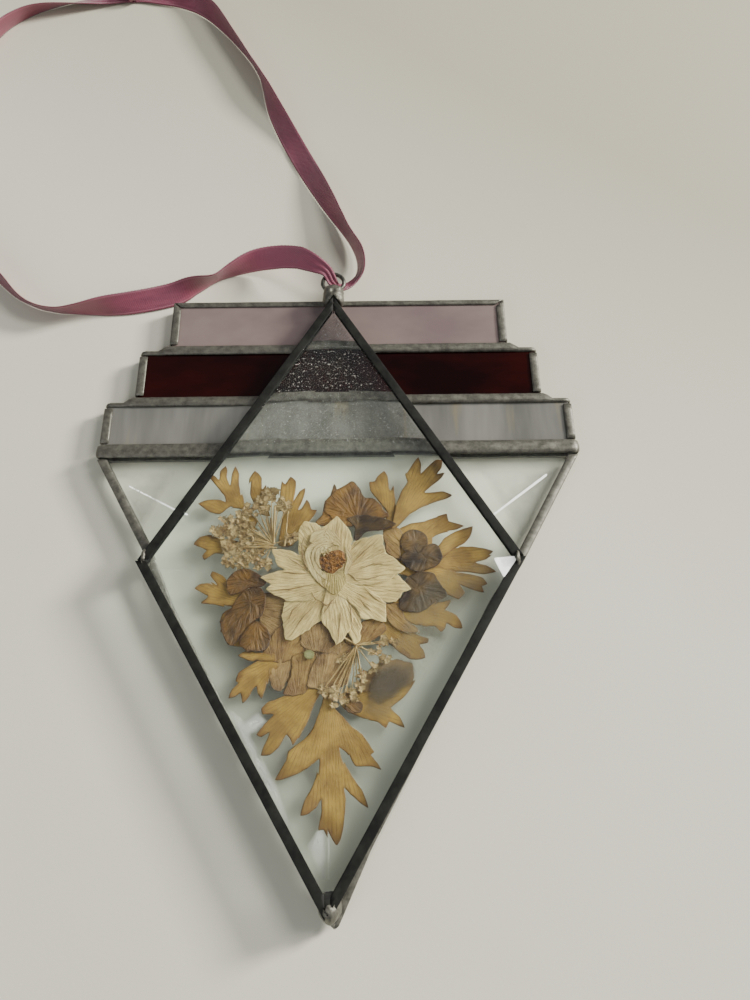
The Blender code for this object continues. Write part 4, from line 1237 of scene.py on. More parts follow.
@dataclass
class Foliage:
    """All the leaves round the flower."""

    leaves: tuple[Leaf, ...] = (
        Leaf("leaf_upper_left", 0, (-23, 95.4), ((-25.5, 99.5), (-28, 100), (-30.7, 98), (-33.5, 98.7),
            (-37, 101.3), (-34.5, 102.3), (-31.3, 102.2), (-29.3, 101.5), (-30.1, 103.6), (-32.3, 106.3),
            (-34.9, 109.6), (-33.1, 109.5), (-31.7, 108.3), (-31.6, 110.9), (-30.2, 112.4), (-29.6, 111.1),
            (-29.6, 108.8), (-28.5, 106.4), (-28.3, 109.6), (-27.5, 112.2), (-26.3, 109.8), (-26, 106.2),
            (-24.4, 100), (-21, 96), (-23, 94)), (4, 10, 14, 19)),
        Leaf("leaf_upper_mid_left", 1, (-19, 97), ((-20.4, 98), (-22.2, 101), (-23.4, 103.7), (-23.3, 108),
            (-21.9, 110.4), (-20.5, 108.5), (-20.3, 105.2), (-19.2, 106.5), (-19.1, 104.4), (-19, 101),
            (-17.8, 97.4)), (4, 7)),
        Leaf("leaf_upper_mid", 0, (-13.6, 89.4), ((-15.4, 89.4), (-14.4, 98.8), (-15.4, 103.4),
            (-15.1, 107.7), (-14.1, 106.7), (-12.8, 109), (-11.2, 107.6), (-11.3, 104.5), (-11.7, 101.8),
            (-10.2, 104.6), (-8.6, 105.6), (-9.1, 102.5), (-10.4, 99.3), (-9.5, 99.7), (-8.2, 102.2),
            (-7.3, 100.9), (-6.8, 99.3), (-5.4, 99.1), (-6.3, 97.4), (-9.2, 93.5), (-11.6, 89.2)),
            (5, 10, 14, 17)),
        Leaf("leaf_left_high", 0, (-25, 88.4), ((-25, 87), (-31.8, 87.3), (-34.4, 85.5), (-35.1, 86.8),
            (-34, 88.2), (-37, 89.5), (-35.6, 91.5), (-33.1, 92.1), (-30.6, 91.4), (-26, 90.6)), (2, 5)),
        Leaf("leaf_left_low", 0, (-21.6, 73.6), ((-22, 72), (-30.1, 73.9), (-34, 74.4), (-32.8, 75.5),
            (-32.4, 76.3), (-35.9, 78.3), (-34.4, 79.5), (-32.1, 79.5), (-30.6, 78.8), (-32.5, 81.3),
            (-32, 82.4), (-29.4, 81.3), (-27.1, 79), (-21.9, 76.2)), (2, 5, 10)),
        Leaf("leaf_under_brown", 0.4, (-20, 68.6), ((-21, 73), (-26.8, 72.6), (-28.2, 71.6), (-29, 69.4),
            (-27.9, 68.9), (-28.6, 67.1), (-27.5, 66.4), (-26.5, 63.7), (-20, 63)), (1, 3, 5, 7)),
        Leaf("leaf_upper_mid_right", 0, (14, 91), ((12, 92.6), (13.3, 98.2), (11.1, 101.5), (8.9, 104.6),
            (8.6, 107.1), (10.1, 107.3), (10.8, 108.7), (12.7, 110.4), (13.7, 108.5), (13.9, 105.6),
            (14.4, 104.5), (15.2, 106), (15.5, 102.6), (15.7, 98.8), (15.4, 92.6)), (4, 7, 11)),
        Leaf("leaf_upper_right", 1, (14.4, 92.6), ((14.2, 93.4), (15.6, 99.8), (17.2, 104.1), (18.9, 106.9),
            (18.4, 109.1), (19.9, 111.6), (21.7, 114.1), (22.4, 111.9), (22.2, 109), (24.5, 111.5),
            (26.6, 113.4), (28.4, 113.2), (28, 110.9), (26.7, 109.1), (28.8, 109.5), (27.6, 107.6),
            (25, 105.4), (22.9, 103.4), (24.9, 103.4), (28.1, 103.8), (30.5, 102.7), (28.6, 101.5),
            (25.7, 100.6), (22.2, 99.2), (19.3, 97.4), (15.6, 93.6)), (6, 11, 14, 20)),
        Leaf("leaf_right", 0, (15, 85.5), ((13.7, 91.4), (16.2, 93.4), (19.4, 95), (22.9, 95.5),
            (26.8, 96.9), (28.7, 97.4), (29, 95.2), (30.9, 94.7), (33.1, 93.9), (30.9, 92.8), (27.9, 92.2),
            (25.1, 90.9), (25, 84), (22, 78.6), (19, 80.2), (13.4, 82.5)), (5, 8)),
        Leaf("leaf_right_high", 1, (17, 85), ((20, 85.5), (26.4, 88.5), (28.2, 90.7), (31.1, 92.3),
            (33.5, 93.2), (35.5, 93.7), (34.7, 91.1), (32.8, 88.8), (30.1, 87.4), (27.2, 84.9), (21, 83.5)),
            (5,)),
        Leaf("leaf_right_point", 0.5, (17, 84), ((21, 83.6), (27.4, 86.5), (30.9, 87.9), (35, 88),
            (37.7, 87.6), (40.4, 86.8), (38.3, 85.1), (35.5, 84.3), (38.5, 83.4), (40.8, 81.8),
            (37.3, 81.1), (33.3, 81.7), (29.2, 81.8), (21.8, 81.4)), (5, 9)),
        Leaf("leaf_right_low", 1.4, (17, 83), ((20.4, 82.6), (26.5, 82.8), (30.5, 81.5), (34.5, 80.9),
            (37.2, 80), (38.3, 78.4), (36.8, 77.8), (37.3, 76.2), (34.6, 76.7), (32.6, 77.6), (31, 78.3),
            (32.3, 76.2), (30.6, 74.4), (28.5, 75.3), (25.8, 76.3), (23.9, 78.6), (20.6, 80.6)),
            (5, 7, 11)),
        Leaf("leaf_lower_right", 1, (15.6, 72.6), ((14.6, 74.6), (23.3, 73.6), (26.7, 73.9), (28.6, 74.4),
            (27.9, 72.7), (27, 71.8), (29.6, 70.6), (30.9, 68.9), (31.2, 67.1), (29.3, 67.1), (27.3, 68.3),
            (26.7, 67), (25.7, 66.1), (24.2, 67.6), (19.9, 67.6), (14.4, 70.2)), (3, 8, 12)),
        Leaf("leaf_beside_umbel", 0.4, (10.6, 68.6), ((10.6, 69.6), (16.2, 69.3), (18.8, 66.8),
            (20.1, 65.4), (22.5, 64.6), (22.3, 63.5), (20.2, 63), (21.2, 61.7), (21.6, 59.8), (19.8, 59.4),
            (17.7, 59.5), (16, 60.6), (14.1, 62.3), (11, 64.6), (9, 67.4)), (4, 8, 11)),
        Leaf("leaf_below_umbel", 0.8, (0.6, 49.4), ((1.2, 48.3), (1.9, 51.3), (5.9, 51.5), (11.6, 52.3),
            (16.1, 53.2), (18.9, 54.5), (18, 52.8), (16.1, 50.3), (12.8, 47.9), (15, 45.7), (16.1, 43.2),
            (14.3, 43.8), (12.4, 44.7), (11.5, 43.2), (9.6, 44.6), (6.5, 45.2), (2.9, 46.9)), (5, 10, 13)),
        Leaf("leaf_small_left", 1.4, (-15.4, 59.8), ((-15, 59), (-20.9, 59.5), (-23.8, 60.9), (-21.9, 61.9),
            (-19.9, 61.3), (-15.1, 60.9)), (2, 3)),
        Leaf("leaf_lower_left", 1, (-14, 59.8), ((-14.2, 60.8), (-17.7, 59.2), (-19.5, 59.2), (-21.7, 57.9),
            (-23.4, 56.8), (-24.1, 54.8), (-23.4, 54.3), (-25, 52.6), (-25.7, 50.6), (-24.2, 50.9),
            (-22.8, 51.8), (-22.2, 49.4), (-20.9, 50.6), (-19.6, 52.9), (-18.9, 53.3), (-18.5, 51.7),
            (-17.5, 50.4), (-16.6, 52.7), (-16.1, 55.6), (-13, 59)), (4, 8, 11, 16)),
        Leaf("leaf_bottom_left", 1, (-2.6, 54.4), ((-3.4, 55.4), (-7.2, 52.6), (-10.6, 51.4), (-13.3, 50.4),
            (-16, 49.6), (-17.5, 48.1), (-17.1, 46.8), (-14.5, 46.7), (-16.5, 44.6), (-18.5, 42.1),
            (-17.3, 41.6), (-15.3, 42.5), (-16.6, 39.6), (-17.3, 37.3), (-15.1, 37.5), (-13, 39.2),
            (-11.3, 42), (-10.4, 41.1), (-9.7, 39.6), (-8.3, 41.6), (-6.6, 44.9), (-5.2, 48.8),
            (-1.8, 54.4)), (5, 9, 13, 18)),
        Leaf("leaf_bottom", 0, (-1.6, 54), ((-2.6, 54), (-3.2, 50.1), (-4.1, 46.6), (-5.6, 43.1),
            (-7.4, 40.8), (-10.7, 38.3), (-11.3, 36.2), (-13.8, 32), (-11.7, 32.1), (-8.7, 33.2),
            (-6.1, 34.5), (-3.9, 36.2), (-3.9, 33.4), (-5.1, 30), (-6.9, 27.2), (-7.6, 24.2), (-5.9, 24.5),
            (-3.9, 25.9), (-2.8, 27.6), (-2.7, 24.9), (-3.5, 21.2), (-2.2, 21.2), (-1.3, 19.5), (0, 17.9),
            (1, 19.4), (1.4, 21.4), (1.8, 24.6), (2, 27.6), (1.6, 30.1), (3.1, 28.6), (5.3, 26.8),
            (7.1, 25.6), (6.8, 27.3), (5.8, 29.5), (3.4, 32.6), (1.6, 35.7), (0.9, 38.7), (2.7, 37.3),
            (4.2, 34.8), (7.8, 34.7), (10.3, 33.9), (9.5, 35.4), (7.9, 37.2), (8.7, 37.9), (7.4, 39.8),
            (5.8, 42), (3.6, 43.6), (1.4, 46.1), (-0.6, 48.3), (-0.6, 54)), (7, 15, 23, 31, 40)),
    )

    def build(self, maker: Maker) -> None:
        """Make every leaf.

        Args:
            maker: makes the pieces.
        """
        for index, leaf in enumerate(self.leaves):
            leaf.build(maker, 1.7 * index)


@dataclass
class WhiteFlower:
    """The white flower: broad petals, a swirl of folded inner petals, and rust stamens."""

    petals: tuple = (
        ("white_petal_01", 4, ((-1.7, 81.5), (-4.2, 88.9), (-4.2, 93.6), (-2.3, 94.7), (0.1, 96.7),
            (2.7, 93.9), (4.2, 90.1), (3.5, 87.3), (1.6, 82.2))),
        ("white_petal_02", 3, ((-0.3, 82.9), (2.7, 87.1), (4.4, 89.5), (7.1, 90.7), (9.7, 91.3),
            (12.3, 91.5), (12, 88.8), (13, 85.9), (10.8, 83.1), (1, 79))),
        ("white_petal_03", 4, ((0.2, 81.2), (8.1, 84.4), (12.4, 86.6), (15.6, 84.2), (17.6, 82), (16, 80.9),
            (13.4, 79.3), (8.1, 77.7), (0.2, 78.4))),
        ("white_petal_04", 3, ((0.2, 80), (9.4, 81), (15.2, 81), (16.9, 79.1), (19, 76.8), (16.7, 75.8),
            (15.2, 73.6), (12.7, 73.5), (9.4, 74.7), (0.4, 76.6))),
        ("white_petal_05", 4, ((0, 79.2), (8, 77), (12.4, 73.2), (12.7, 69.8), (12.5, 68.1), (9.6, 68.7),
            (6.7, 69.1), (4.4, 72.6), (-0.6, 76.1))),
        ("white_petal_06", 3, ((0.2, 78.3), (3.4, 75.5), (6.1, 70.7), (6.2, 66.7), (6, 63.9), (4.5, 62.8),
            (3.2, 65.1), (1.4, 70.1), (-1.8, 76.2))),
        ("white_petal_07", 4, ((0.2, 79.2), (2.7, 74), (4.3, 69.3), (3.4, 66), (2.2, 64.5), (0.1, 62.7),
            (-1.2, 65.2), (-3.3, 67.9), (-3.9, 69.1), (-2.3, 78))),
        ("white_petal_08", 3, ((-0.4, 77.9), (-1.3, 72.1), (-3.9, 68.8), (-8.1, 65.7), (-10.9, 64),
            (-12.4, 64.1), (-13, 66.3), (-13.6, 70.3), (-13.1, 73.7), (-2, 79.6))),
        ("white_petal_09", 4, ((-1, 78), (-7.3, 73.8), (-12.9, 74), (-18.1, 77), (-16.6, 78.3),
            (-19.3, 80.1), (-17.1, 81.3), (-13.5, 82.1), (-7.4, 81.8), (-1, 80.6))),
        ("white_petal_10", 3, ((-0.6, 79.4), (-6.7, 79.8), (-12.5, 81.3), (-15.1, 83.4), (-16.3, 86.1),
            (-16.9, 88.1), (-12, 87.5), (-9.9, 86.2), (-1.8, 83.4))),
        ("white_petal_11", 2, ((-1.1, 80.1), (-6.2, 83.1), (-9.8, 86.5), (-10.3, 90.7), (-9.8, 94.3),
            (-8.6, 95.6), (-5.5, 95), (-3.4, 92.8), (-0.8, 83.9))),
    )
    stamens: int = 260
    heart: tuple[float, float] = (-0.9, 84.1)
    heart_height: float = 7.16
    folds: tuple = (
        ("flower_base", 6.3, ((-3.4, 82.4), (-3.6, 78), (-0.8, 75.4), (2.4, 77.4), (2.8, 81.6),
            (0.2, 84.4))),
        ("fold_top", 7.02, ((-7, 89.6), (-6, 92.4), (-2.6, 93), (0.2, 91.4), (1, 88.4), (-1.6, 88.8),
            (-4.4, 88.6))),
        ("fold_outer", 7.04, ((-2.4, 89.8), (-6, 89.6), (-8, 87), (-7.8, 83.2), (-5.8, 79.8), (-2.6, 76.8),
            (-1.6, 78.4), (-4.6, 81.4), (-6, 84.4), (-5.2, 87.6))),
        ("fold_middle", 7.16, ((-0.6, 89.2), (-3.6, 89.4), (-6, 87.8), (-6.6, 84.8), (-5.4, 81.6),
            (-3, 79.2), (-2.4, 80.2), (-4.4, 82.4), (-5.2, 84.8), (-4.4, 87.2))),
        ("fold_inner", 7.26, ((-0.8, 88.4), (-3.2, 88.7), (-5, 87.6), (-5.6, 85.2), (-4.8, 83), (-3.8, 82),
            (-4.4, 84.6), (-3.4, 86.8))),
        ("fold_right", 7.06, ((2, 88), (3.6, 86.4), (4, 83.6), (2.8, 81), (1.8, 79.8), (2, 82), (2.6, 85))),
    )
    creases: tuple = (
        ((2.4, 81.4), (4, 80), (6.2, 78)),
        ((-8.3, 91.7), (-9.1, 88.9), (-8.7, 85.3), (-7.4, 82.4), (-5.4, 80.3)),
        ((-5.3, 79.6), (-3.6, 77.5), (-0.6, 75.4)),
        ((0, 75.4), (-1.6, 72.7), (-3.5, 70)),
        ((2.7, 75.3), (3.7, 71.3), (4, 66.6)),
        ((6.7, 77.4), (9.4, 74.6), (12.3, 72.5)),
        ((4, 79.5), (8.1, 79.4), (13.5, 80.7)),
        ((4.1, 83.7), (6.8, 86.5), (10.9, 90)),
        ((-0.7, 89.7), (-0.1, 92), (0.1, 95.7)),
        ((-14.8, 81.8), (-10.8, 81.1), (-6, 81.1)),
        ((-17.3, 76.6), (-12, 76.9), (-5.3, 78.2)),
        ((-11.6, 64.8), (-8.5, 69.4), (-4.6, 73.4)),
        ((-13.6, 86), (-10.2, 83.9), (-6.7, 81.1)),
        ((1.4, 72.6), (0.8, 67.3), (0.4, 63.2)),
        ((-6.6, 76.5), (-5.3, 74.4), (-2.6, 72.7), (0.1, 73.3)),
        ((5, 75.8), (7.2, 72.4), (9.6, 70)),
        ((-8.4, 73.8), (-11, 71.4), (-12.2, 67.6)),
        ((5.2, 81.8), (9.4, 83.4), (14, 83)),
        ((3.4, 86.8), (5, 88.6), (6.6, 90)),
        ((-2.4, 93.4), (-3.2, 91.6), (-3.4, 90)),
    )

    def build(self, maker: Maker) -> None:
        """Make the petals, their creases, the folds and the stamens.

        Args:
            maker: makes the pieces.
        """
        for index, (node, layer, edge) in enumerate(self.petals):
            self.petal(maker, node, layer, [Vector(point) for point in edge], index)
        for index, path in enumerate(self.creases):
            ribs = [(Vector(path[0]), Vector(path[-1]))]
            PressedSheet(f"petal_crease_{index + 1:02d}", band(path, 0.34), ribs, 7.04, Finishes.crease, (),
                         wave=0.03, ragged=0.16, fineness=0.4, thickness=0.06, seed=0.7 * index).build(maker)
        for index, (name, height, points) in enumerate(self.folds):
            ribs = [(Vector(points[0]), Vector(points[2])), (Vector(points[2]), Vector(points[4]))]
            PressedSheet(name, rounded(points), ribs, height, Finishes.fold, (), wave=0.10, wave_size=1.8,
                         wrinkle=0.05, wrinkle_pitch=0.7, ragged=0.16, fineness=0.35, thickness=0.10,
                         seed=5.1 + index).build(maker)
        self.make_stamens(maker)

    def petal(self, maker: Maker, node: str, layer: int, edge: list[Vector], index: int) -> None:
        """Make one petal.

        Args:
            maker: makes the piece.
            node: the CAD node that it stands for.
            layer: its layer between the panes.
            edge: its outline, from its foot round to its foot.
            index: sets its waves.
        """
        foot = (edge[0] + edge[-1]) / 2
        tip = max(edge, key=lambda point: (point - foot).length)
        PressedSheet(node + "_blade", edge, [(foot, tip)], LOWEST_LAYER + layer * LAYER_STEP - 0.05,
                     Finishes.white, (node,), wave=0.10, wave_size=4.5, wrinkle=0.045, wrinkle_pitch=1.1,
                     ragged=0.38, fineness=0.38, fan=True, seed=2.3 * index).build(maker)

    def make_stamens(self, maker: Maker) -> None:
        """Make the stamens, a cushion of rust grains, with paler pollen and the pleats below.

        Args:
            maker: makes the pieces.
        """
        outline = rounded(((-4.5, 84.4), (-3.4, 86.4), (-1.9, 86.9), (0.0, 87.2), (1.7, 86.7), (2.1, 85.1),
                           (1.5, 82.6), (0.0, 81.8), (-1.0, 80.7), (-2.7, 81.4), (-4.2, 82.5)), 4, 0.6)
        ribs = [(Vector((-1.3, 81.0)), Vector((-1.3, 87.0)))]
        PressedSheet("stamen_cushion", outline, ribs, self.heart_height, Finishes.stamen, (), wave=0.16,
                     wave_size=0.8, ragged=0.3, fineness=0.3).build(maker)
        outline = rounded(((-3.6, 81.4), (-3.6, 78.6), (-1.4, 75.6), (0.8, 76.0), (2.4, 78.8), (2.0, 81.4),
                           (-0.6, 80.8)))
        PressedSheet("green_pleats", outline, [(Vector((-0.8, 84.0)), Vector((-0.6, 75.8)))], 7.08,
                     Finishes.pleats, (), wave=0.10, wave_size=1.6, wrinkle=0.07, wrinkle_pitch=0.7,
                     fineness=0.3, fan=True).build(maker)
        self.grains(maker, "stamens", self.heart, (3.2, 2.9), self.stamens, 0.21, Finishes.stamen,
                    ("flower_heart",))
        self.grains(maker, "pollen", (-3.1, 86.9), (1.5, 1.4), 70, 0.17, Finishes.pollen, ())

    def grains(self, maker: Maker, name: str, middle: tuple, reach: tuple, count: int, radius: float,
               finish: Finish, nodes: tuple) -> None:
        """Make a heap of short, bent grains.

        Args:
            maker: makes the piece.
            name: the piece's name.
            middle: the heap's middle, in mm.
            reach: how far it goes both ways.
            count: how many grains it has.
            radius: a grain's radius.
            finish: its finish.
            nodes: the CAD nodes that it stands for.
        """
        chance = random.Random(11)
        bm = bmesh.new()
        for _ in range(count):
            turn = chance.uniform(0, 2 * math.pi)
            far = math.sqrt(chance.random()) * (0.86 + 0.14 * math.sin(3 * turn + 1.0))
            x = middle[0] + reach[0] * far * math.cos(turn)
            y = middle[1] + reach[1] * far * math.sin(turn)
            made = bmesh.ops.create_icosphere(bm, subdivisions=1, radius=radius)["verts"]
            bmesh.ops.scale(bm, vec=(chance.uniform(1.0, 2.4), chance.uniform(0.7, 1.1), 0.8), verts=made)
            matrix = Matrix.Rotation(chance.uniform(0, math.pi), 4, "Z")
            matrix = Matrix.Rotation(chance.uniform(-0.4, 0.4), 4, "Y") @ matrix
            place = Vector((x, y, self.heart_height + 0.26 * chance.random()))
            bmesh.ops.transform(bm, matrix=Matrix.Translation(place) @ matrix, verts=made)
        mark_plain(bm)
        maker.piece(name, bm, finish, nodes, 60.0)


def mark_plain(bm: bmesh.types.BMesh, dark_corner: float = 0.0) -> None:
    """Give a mesh of small grains the map and rim that its finish reads.

    Args:
        bm: the mesh.
        dark_corner: edges shorter than this, in mm, count as rim.
    """
    layer = bm.loops.layers.uv.new("strip")
    rim = bm.verts.layers.float.new("rim")
    for vert in bm.verts:
        shortest = min(edge.calc_length() for edge in vert.link_edges)
        vert[rim] = 0.12 if len(vert.link_edges) < 8 and dark_corner and shortest < dark_corner else 1.0
    for face in bm.faces:
        for loop in face.loops:
            loop[layer].uv = loop.vert.co.xy


@dataclass
class BrownPetals:
    """Brown and tan petals, crumpled and lying over each other."""

    brown: tuple = (
        ("brown_petal_left", 6.36, (-23, 79.4), ((-28.1, 78.4), (-27.6, 80.4), (-25.8, 82.1), (-23.2, 82.7),
            (-20.6, 81.6), (-18, 79.6), (-18.8, 78), (-22.3, 77.4), (-24.8, 76.2), (-27.2, 76))),
        ("brown_petal_lower_left", 6.05, (-21.6, 74), ((-26.6, 72.2), (-25.2, 75), (-23, 77.2),
            (-19.8, 77.8), (-18, 75.4), (-18.4, 71), (-20.7, 68.9), (-22.7, 65.9), (-25.2, 63.4),
            (-26.6, 63.9), (-28, 66.6), (-28.6, 69))),
        ("brown_petal_low_fold", 6.28, (-19.8, 68.4), ((-23.6, 64), (-22.4, 67), (-20.4, 69), (-17.8, 67.8),
            (-16.4, 65.4), (-16.8, 62.4), (-18.8, 61.4), (-21.8, 61.8))),
        ("brown_petal_crumb", 5.95, (3.8, 48.2), ((2.2, 48.6), (3, 46.6), (5.8, 46.6), (6.4, 48.6),
            (4, 49.8))),
    )
    dark: tuple = (
        ("brown_petal_right", 6, (20.2, 89.2), ((16.6, 88.4), (17, 91.4), (19.7, 93), (22.6, 92.1),
            (23.8, 90.4), (23.2, 87.6), (21.6, 86), (19, 86.2))),
        ("brown_petal_right_fold", 6.16, (22.6, 85.4), ((16.6, 85.2), (18.4, 87.2), (21, 86.4),
            (23.4, 88.6), (26, 88.7), (27.3, 86.2), (26.7, 83.7), (24.2, 82.2), (20.7, 81.3),
            (17.8, 82.9))),
        ("brown_petal_lower_right", 5.98, (20.8, 77), ((15.8, 73.6), (17.2, 76), (17.8, 79.6), (20.7, 81.2),
            (24.6, 81.2), (26, 79), (27.6, 75.6), (25.4, 73.8), (22, 71.2), (18.6, 70.8), (16.2, 71.6))),
        ("brown_petal_horn", 6.24, (4.6, 92), ((2.7, 96.3), (6.8, 97.2), (12.4, 96.1), (15.5, 94.5),
            (14.1, 93.6), (11.3, 92.7), (7.8, 92.4), (5.4, 90), (4.4, 90.8), (4.6, 93.7))),
    )
    rust: tuple = (
        ("brown_petal_top", 5.98, (5.4, 96), ((-3.3, 98.7), (-3, 101.4), (-1.2, 103.7), (-0.2, 104.8),
            (1.4, 105.5), (4.1, 107.1), (6.2, 104.7), (7.2, 102.4), (9.7, 102), (11.4, 100.4), (12.5, 98.5),
            (13.8, 96.9), (11, 95.9), (6.8, 95.7), (3.4, 93.9), (-0.1, 95), (-2.2, 97.2))),
        ("brown_petal_top_wing", 5.84, (0, 97), ((-5.7, 95.1), (-4, 97.7), (-3.3, 101.5), (-2.2, 101.8),
            (-0.9, 106.4), (0.2, 104.5), (2.6, 101.8), (2.6, 95.7), (-2.9, 94.3))),
    )
    tan: tuple = (
        ("tan_petal_behind", 5.5, ((-18.5, 76.4), (-12.8, 75.6), (-8, 70), (-12, 62), (-15, 62.5),
            (-19, 66.6), (-19.5, 72))),
        ("tan_petal_ground", 5.46, ((-15, 66), (-8, 70), (2, 68), (4, 61), (2.6, 53.4), (-3, 51.6),
            (-8, 52.2), (-13, 55))),
        ("tan_petal_left", 5.72, ((-18.2, 60.4), (-16.8, 64.4), (-13.4, 68.6), (-9, 67.2), (-7.9, 64),
            (-8.6, 60.6), (-14.1, 58.6))),
        ("tan_petal_middle", 5.8, ((-8.8, 62.5), (-8.6, 66.4), (-5.4, 68.8), (-1.6, 67.6), (1, 64.8),
            (0.6, 60.6), (-4.8, 61.2))),
        ("tan_petal_low", 5.9, ((-6.9, 53.2), (-6, 57.6), (-4.2, 60.6), (0, 60.6), (2, 57.8), (1.8, 53.6),
            (0.4, 52.2), (-4.4, 52.2))),
        ("tan_petal_low_left", 5.76, ((-12.8, 51.2), (-11.2, 55.6), (-10.8, 60.2), (-7, 61.4), (-4.6, 60.4),
            (-6.2, 54.8), (-7.2, 51.6), (-9.6, 50.6))),
        ("tan_petal_lobe", 5.66, ((-15.9, 53.2), (-16.4, 56.8), (-15.3, 59.4), (-11, 60.6), (-11.4, 56),
            (-12.7, 52.4), (-14.3, 52))),
        ("tan_petal_moist", 5.44, ((5.8, 54.6), (9.4, 57.9), (13.7, 59.2), (18, 58.4), (18.6, 55.2),
            (16.6, 51.6), (12.4, 48.8), (8.4, 47.6), (5.2, 50.6))),
        ("tan_petal_right", 5.7, ((1.8, 63.8), (6, 68.4), (10.4, 69.4), (12.6, 66.6), (9.4, 64.2),
            (5.4, 62.4))),
    )
    scrap: tuple = ((-7.8, 61.1), (-6.4, 61.6), (-5.4, 60.6), (-6.0, 59.3), (-7.5, 59.6))
    loops: tuple = (
        ("ochre_loop_lower", 5.78, ((12.2, 73), (12.6, 69.4), (15.4, 66.4), (19.4, 65.6), (20.4, 66.6),
            (17.4, 69.4), (16, 73))),
        ("ochre_loop_upper", 5.74, ((12.2, 92.4), (16, 93.6), (17.4, 91), (16.4, 88), (16.6, 84.8),
            (13, 86.6), (12.4, 89.4))),
    )

    def build(self, maker: Maker) -> None:
        """Make every brown and tan petal.

        Args:
            maker: makes the pieces.
        """
        kinds = ((self.brown, Finishes.brown), (self.dark, Finishes.dark), (self.rust, Finishes.rust))
        rows = [(row, finish) for group, finish in kinds for row in group]
        for index, ((name, height, eye, points), finish) in enumerate(rows):
            centre = Vector(eye)
            ribs = [(centre, Vector(point)) for point in points[::2]]
            nodes = (name,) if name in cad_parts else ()
            PressedSheet(name + "_blade", rounded(points), ribs, height, finish, nodes, wave=0.14,
                         wave_size=3.2, wrinkle=0.05, wrinkle_pitch=1.3, ragged=0.16, fineness=0.45,
                         seed=3.1 * index).build(maker)
        for index, (name, height, points) in enumerate(self.tan):
            ribs = [(Vector(points[-1]), Vector(points[2]))]
            finish = Finishes.ochre if index % 3 == 2 else Finishes.tan
            PressedSheet(name, rounded(points, 4, 0.8), ribs, height, finish, (), wave=0.12,
                         wave_size=2.6, wrinkle=0.04, wrinkle_pitch=1.6, ragged=0.34, fan=True,
                         seed=1.9 * index).build(maker)
        ribs = [(Vector(self.scrap[0]), Vector(self.scrap[2]))]
        PressedSheet("green_scrap", rounded(self.scrap), ribs, 6.5, Finishes.scrap, (), wave=0.05,
                     fineness=0.4).build(maker)
        for index, (name, height, points) in enumerate(self.loops):
            ribs = [(Vector(points[0]), Vector(points[3]))]
            PressedSheet(name, rounded(points, 4), ribs, height, Finishes.ochre, (), wave=0.10,
                         wave_size=3.0, wrinkle=0.06, wrinkle_pitch=1.4, seed=2.9 + index).build(maker)


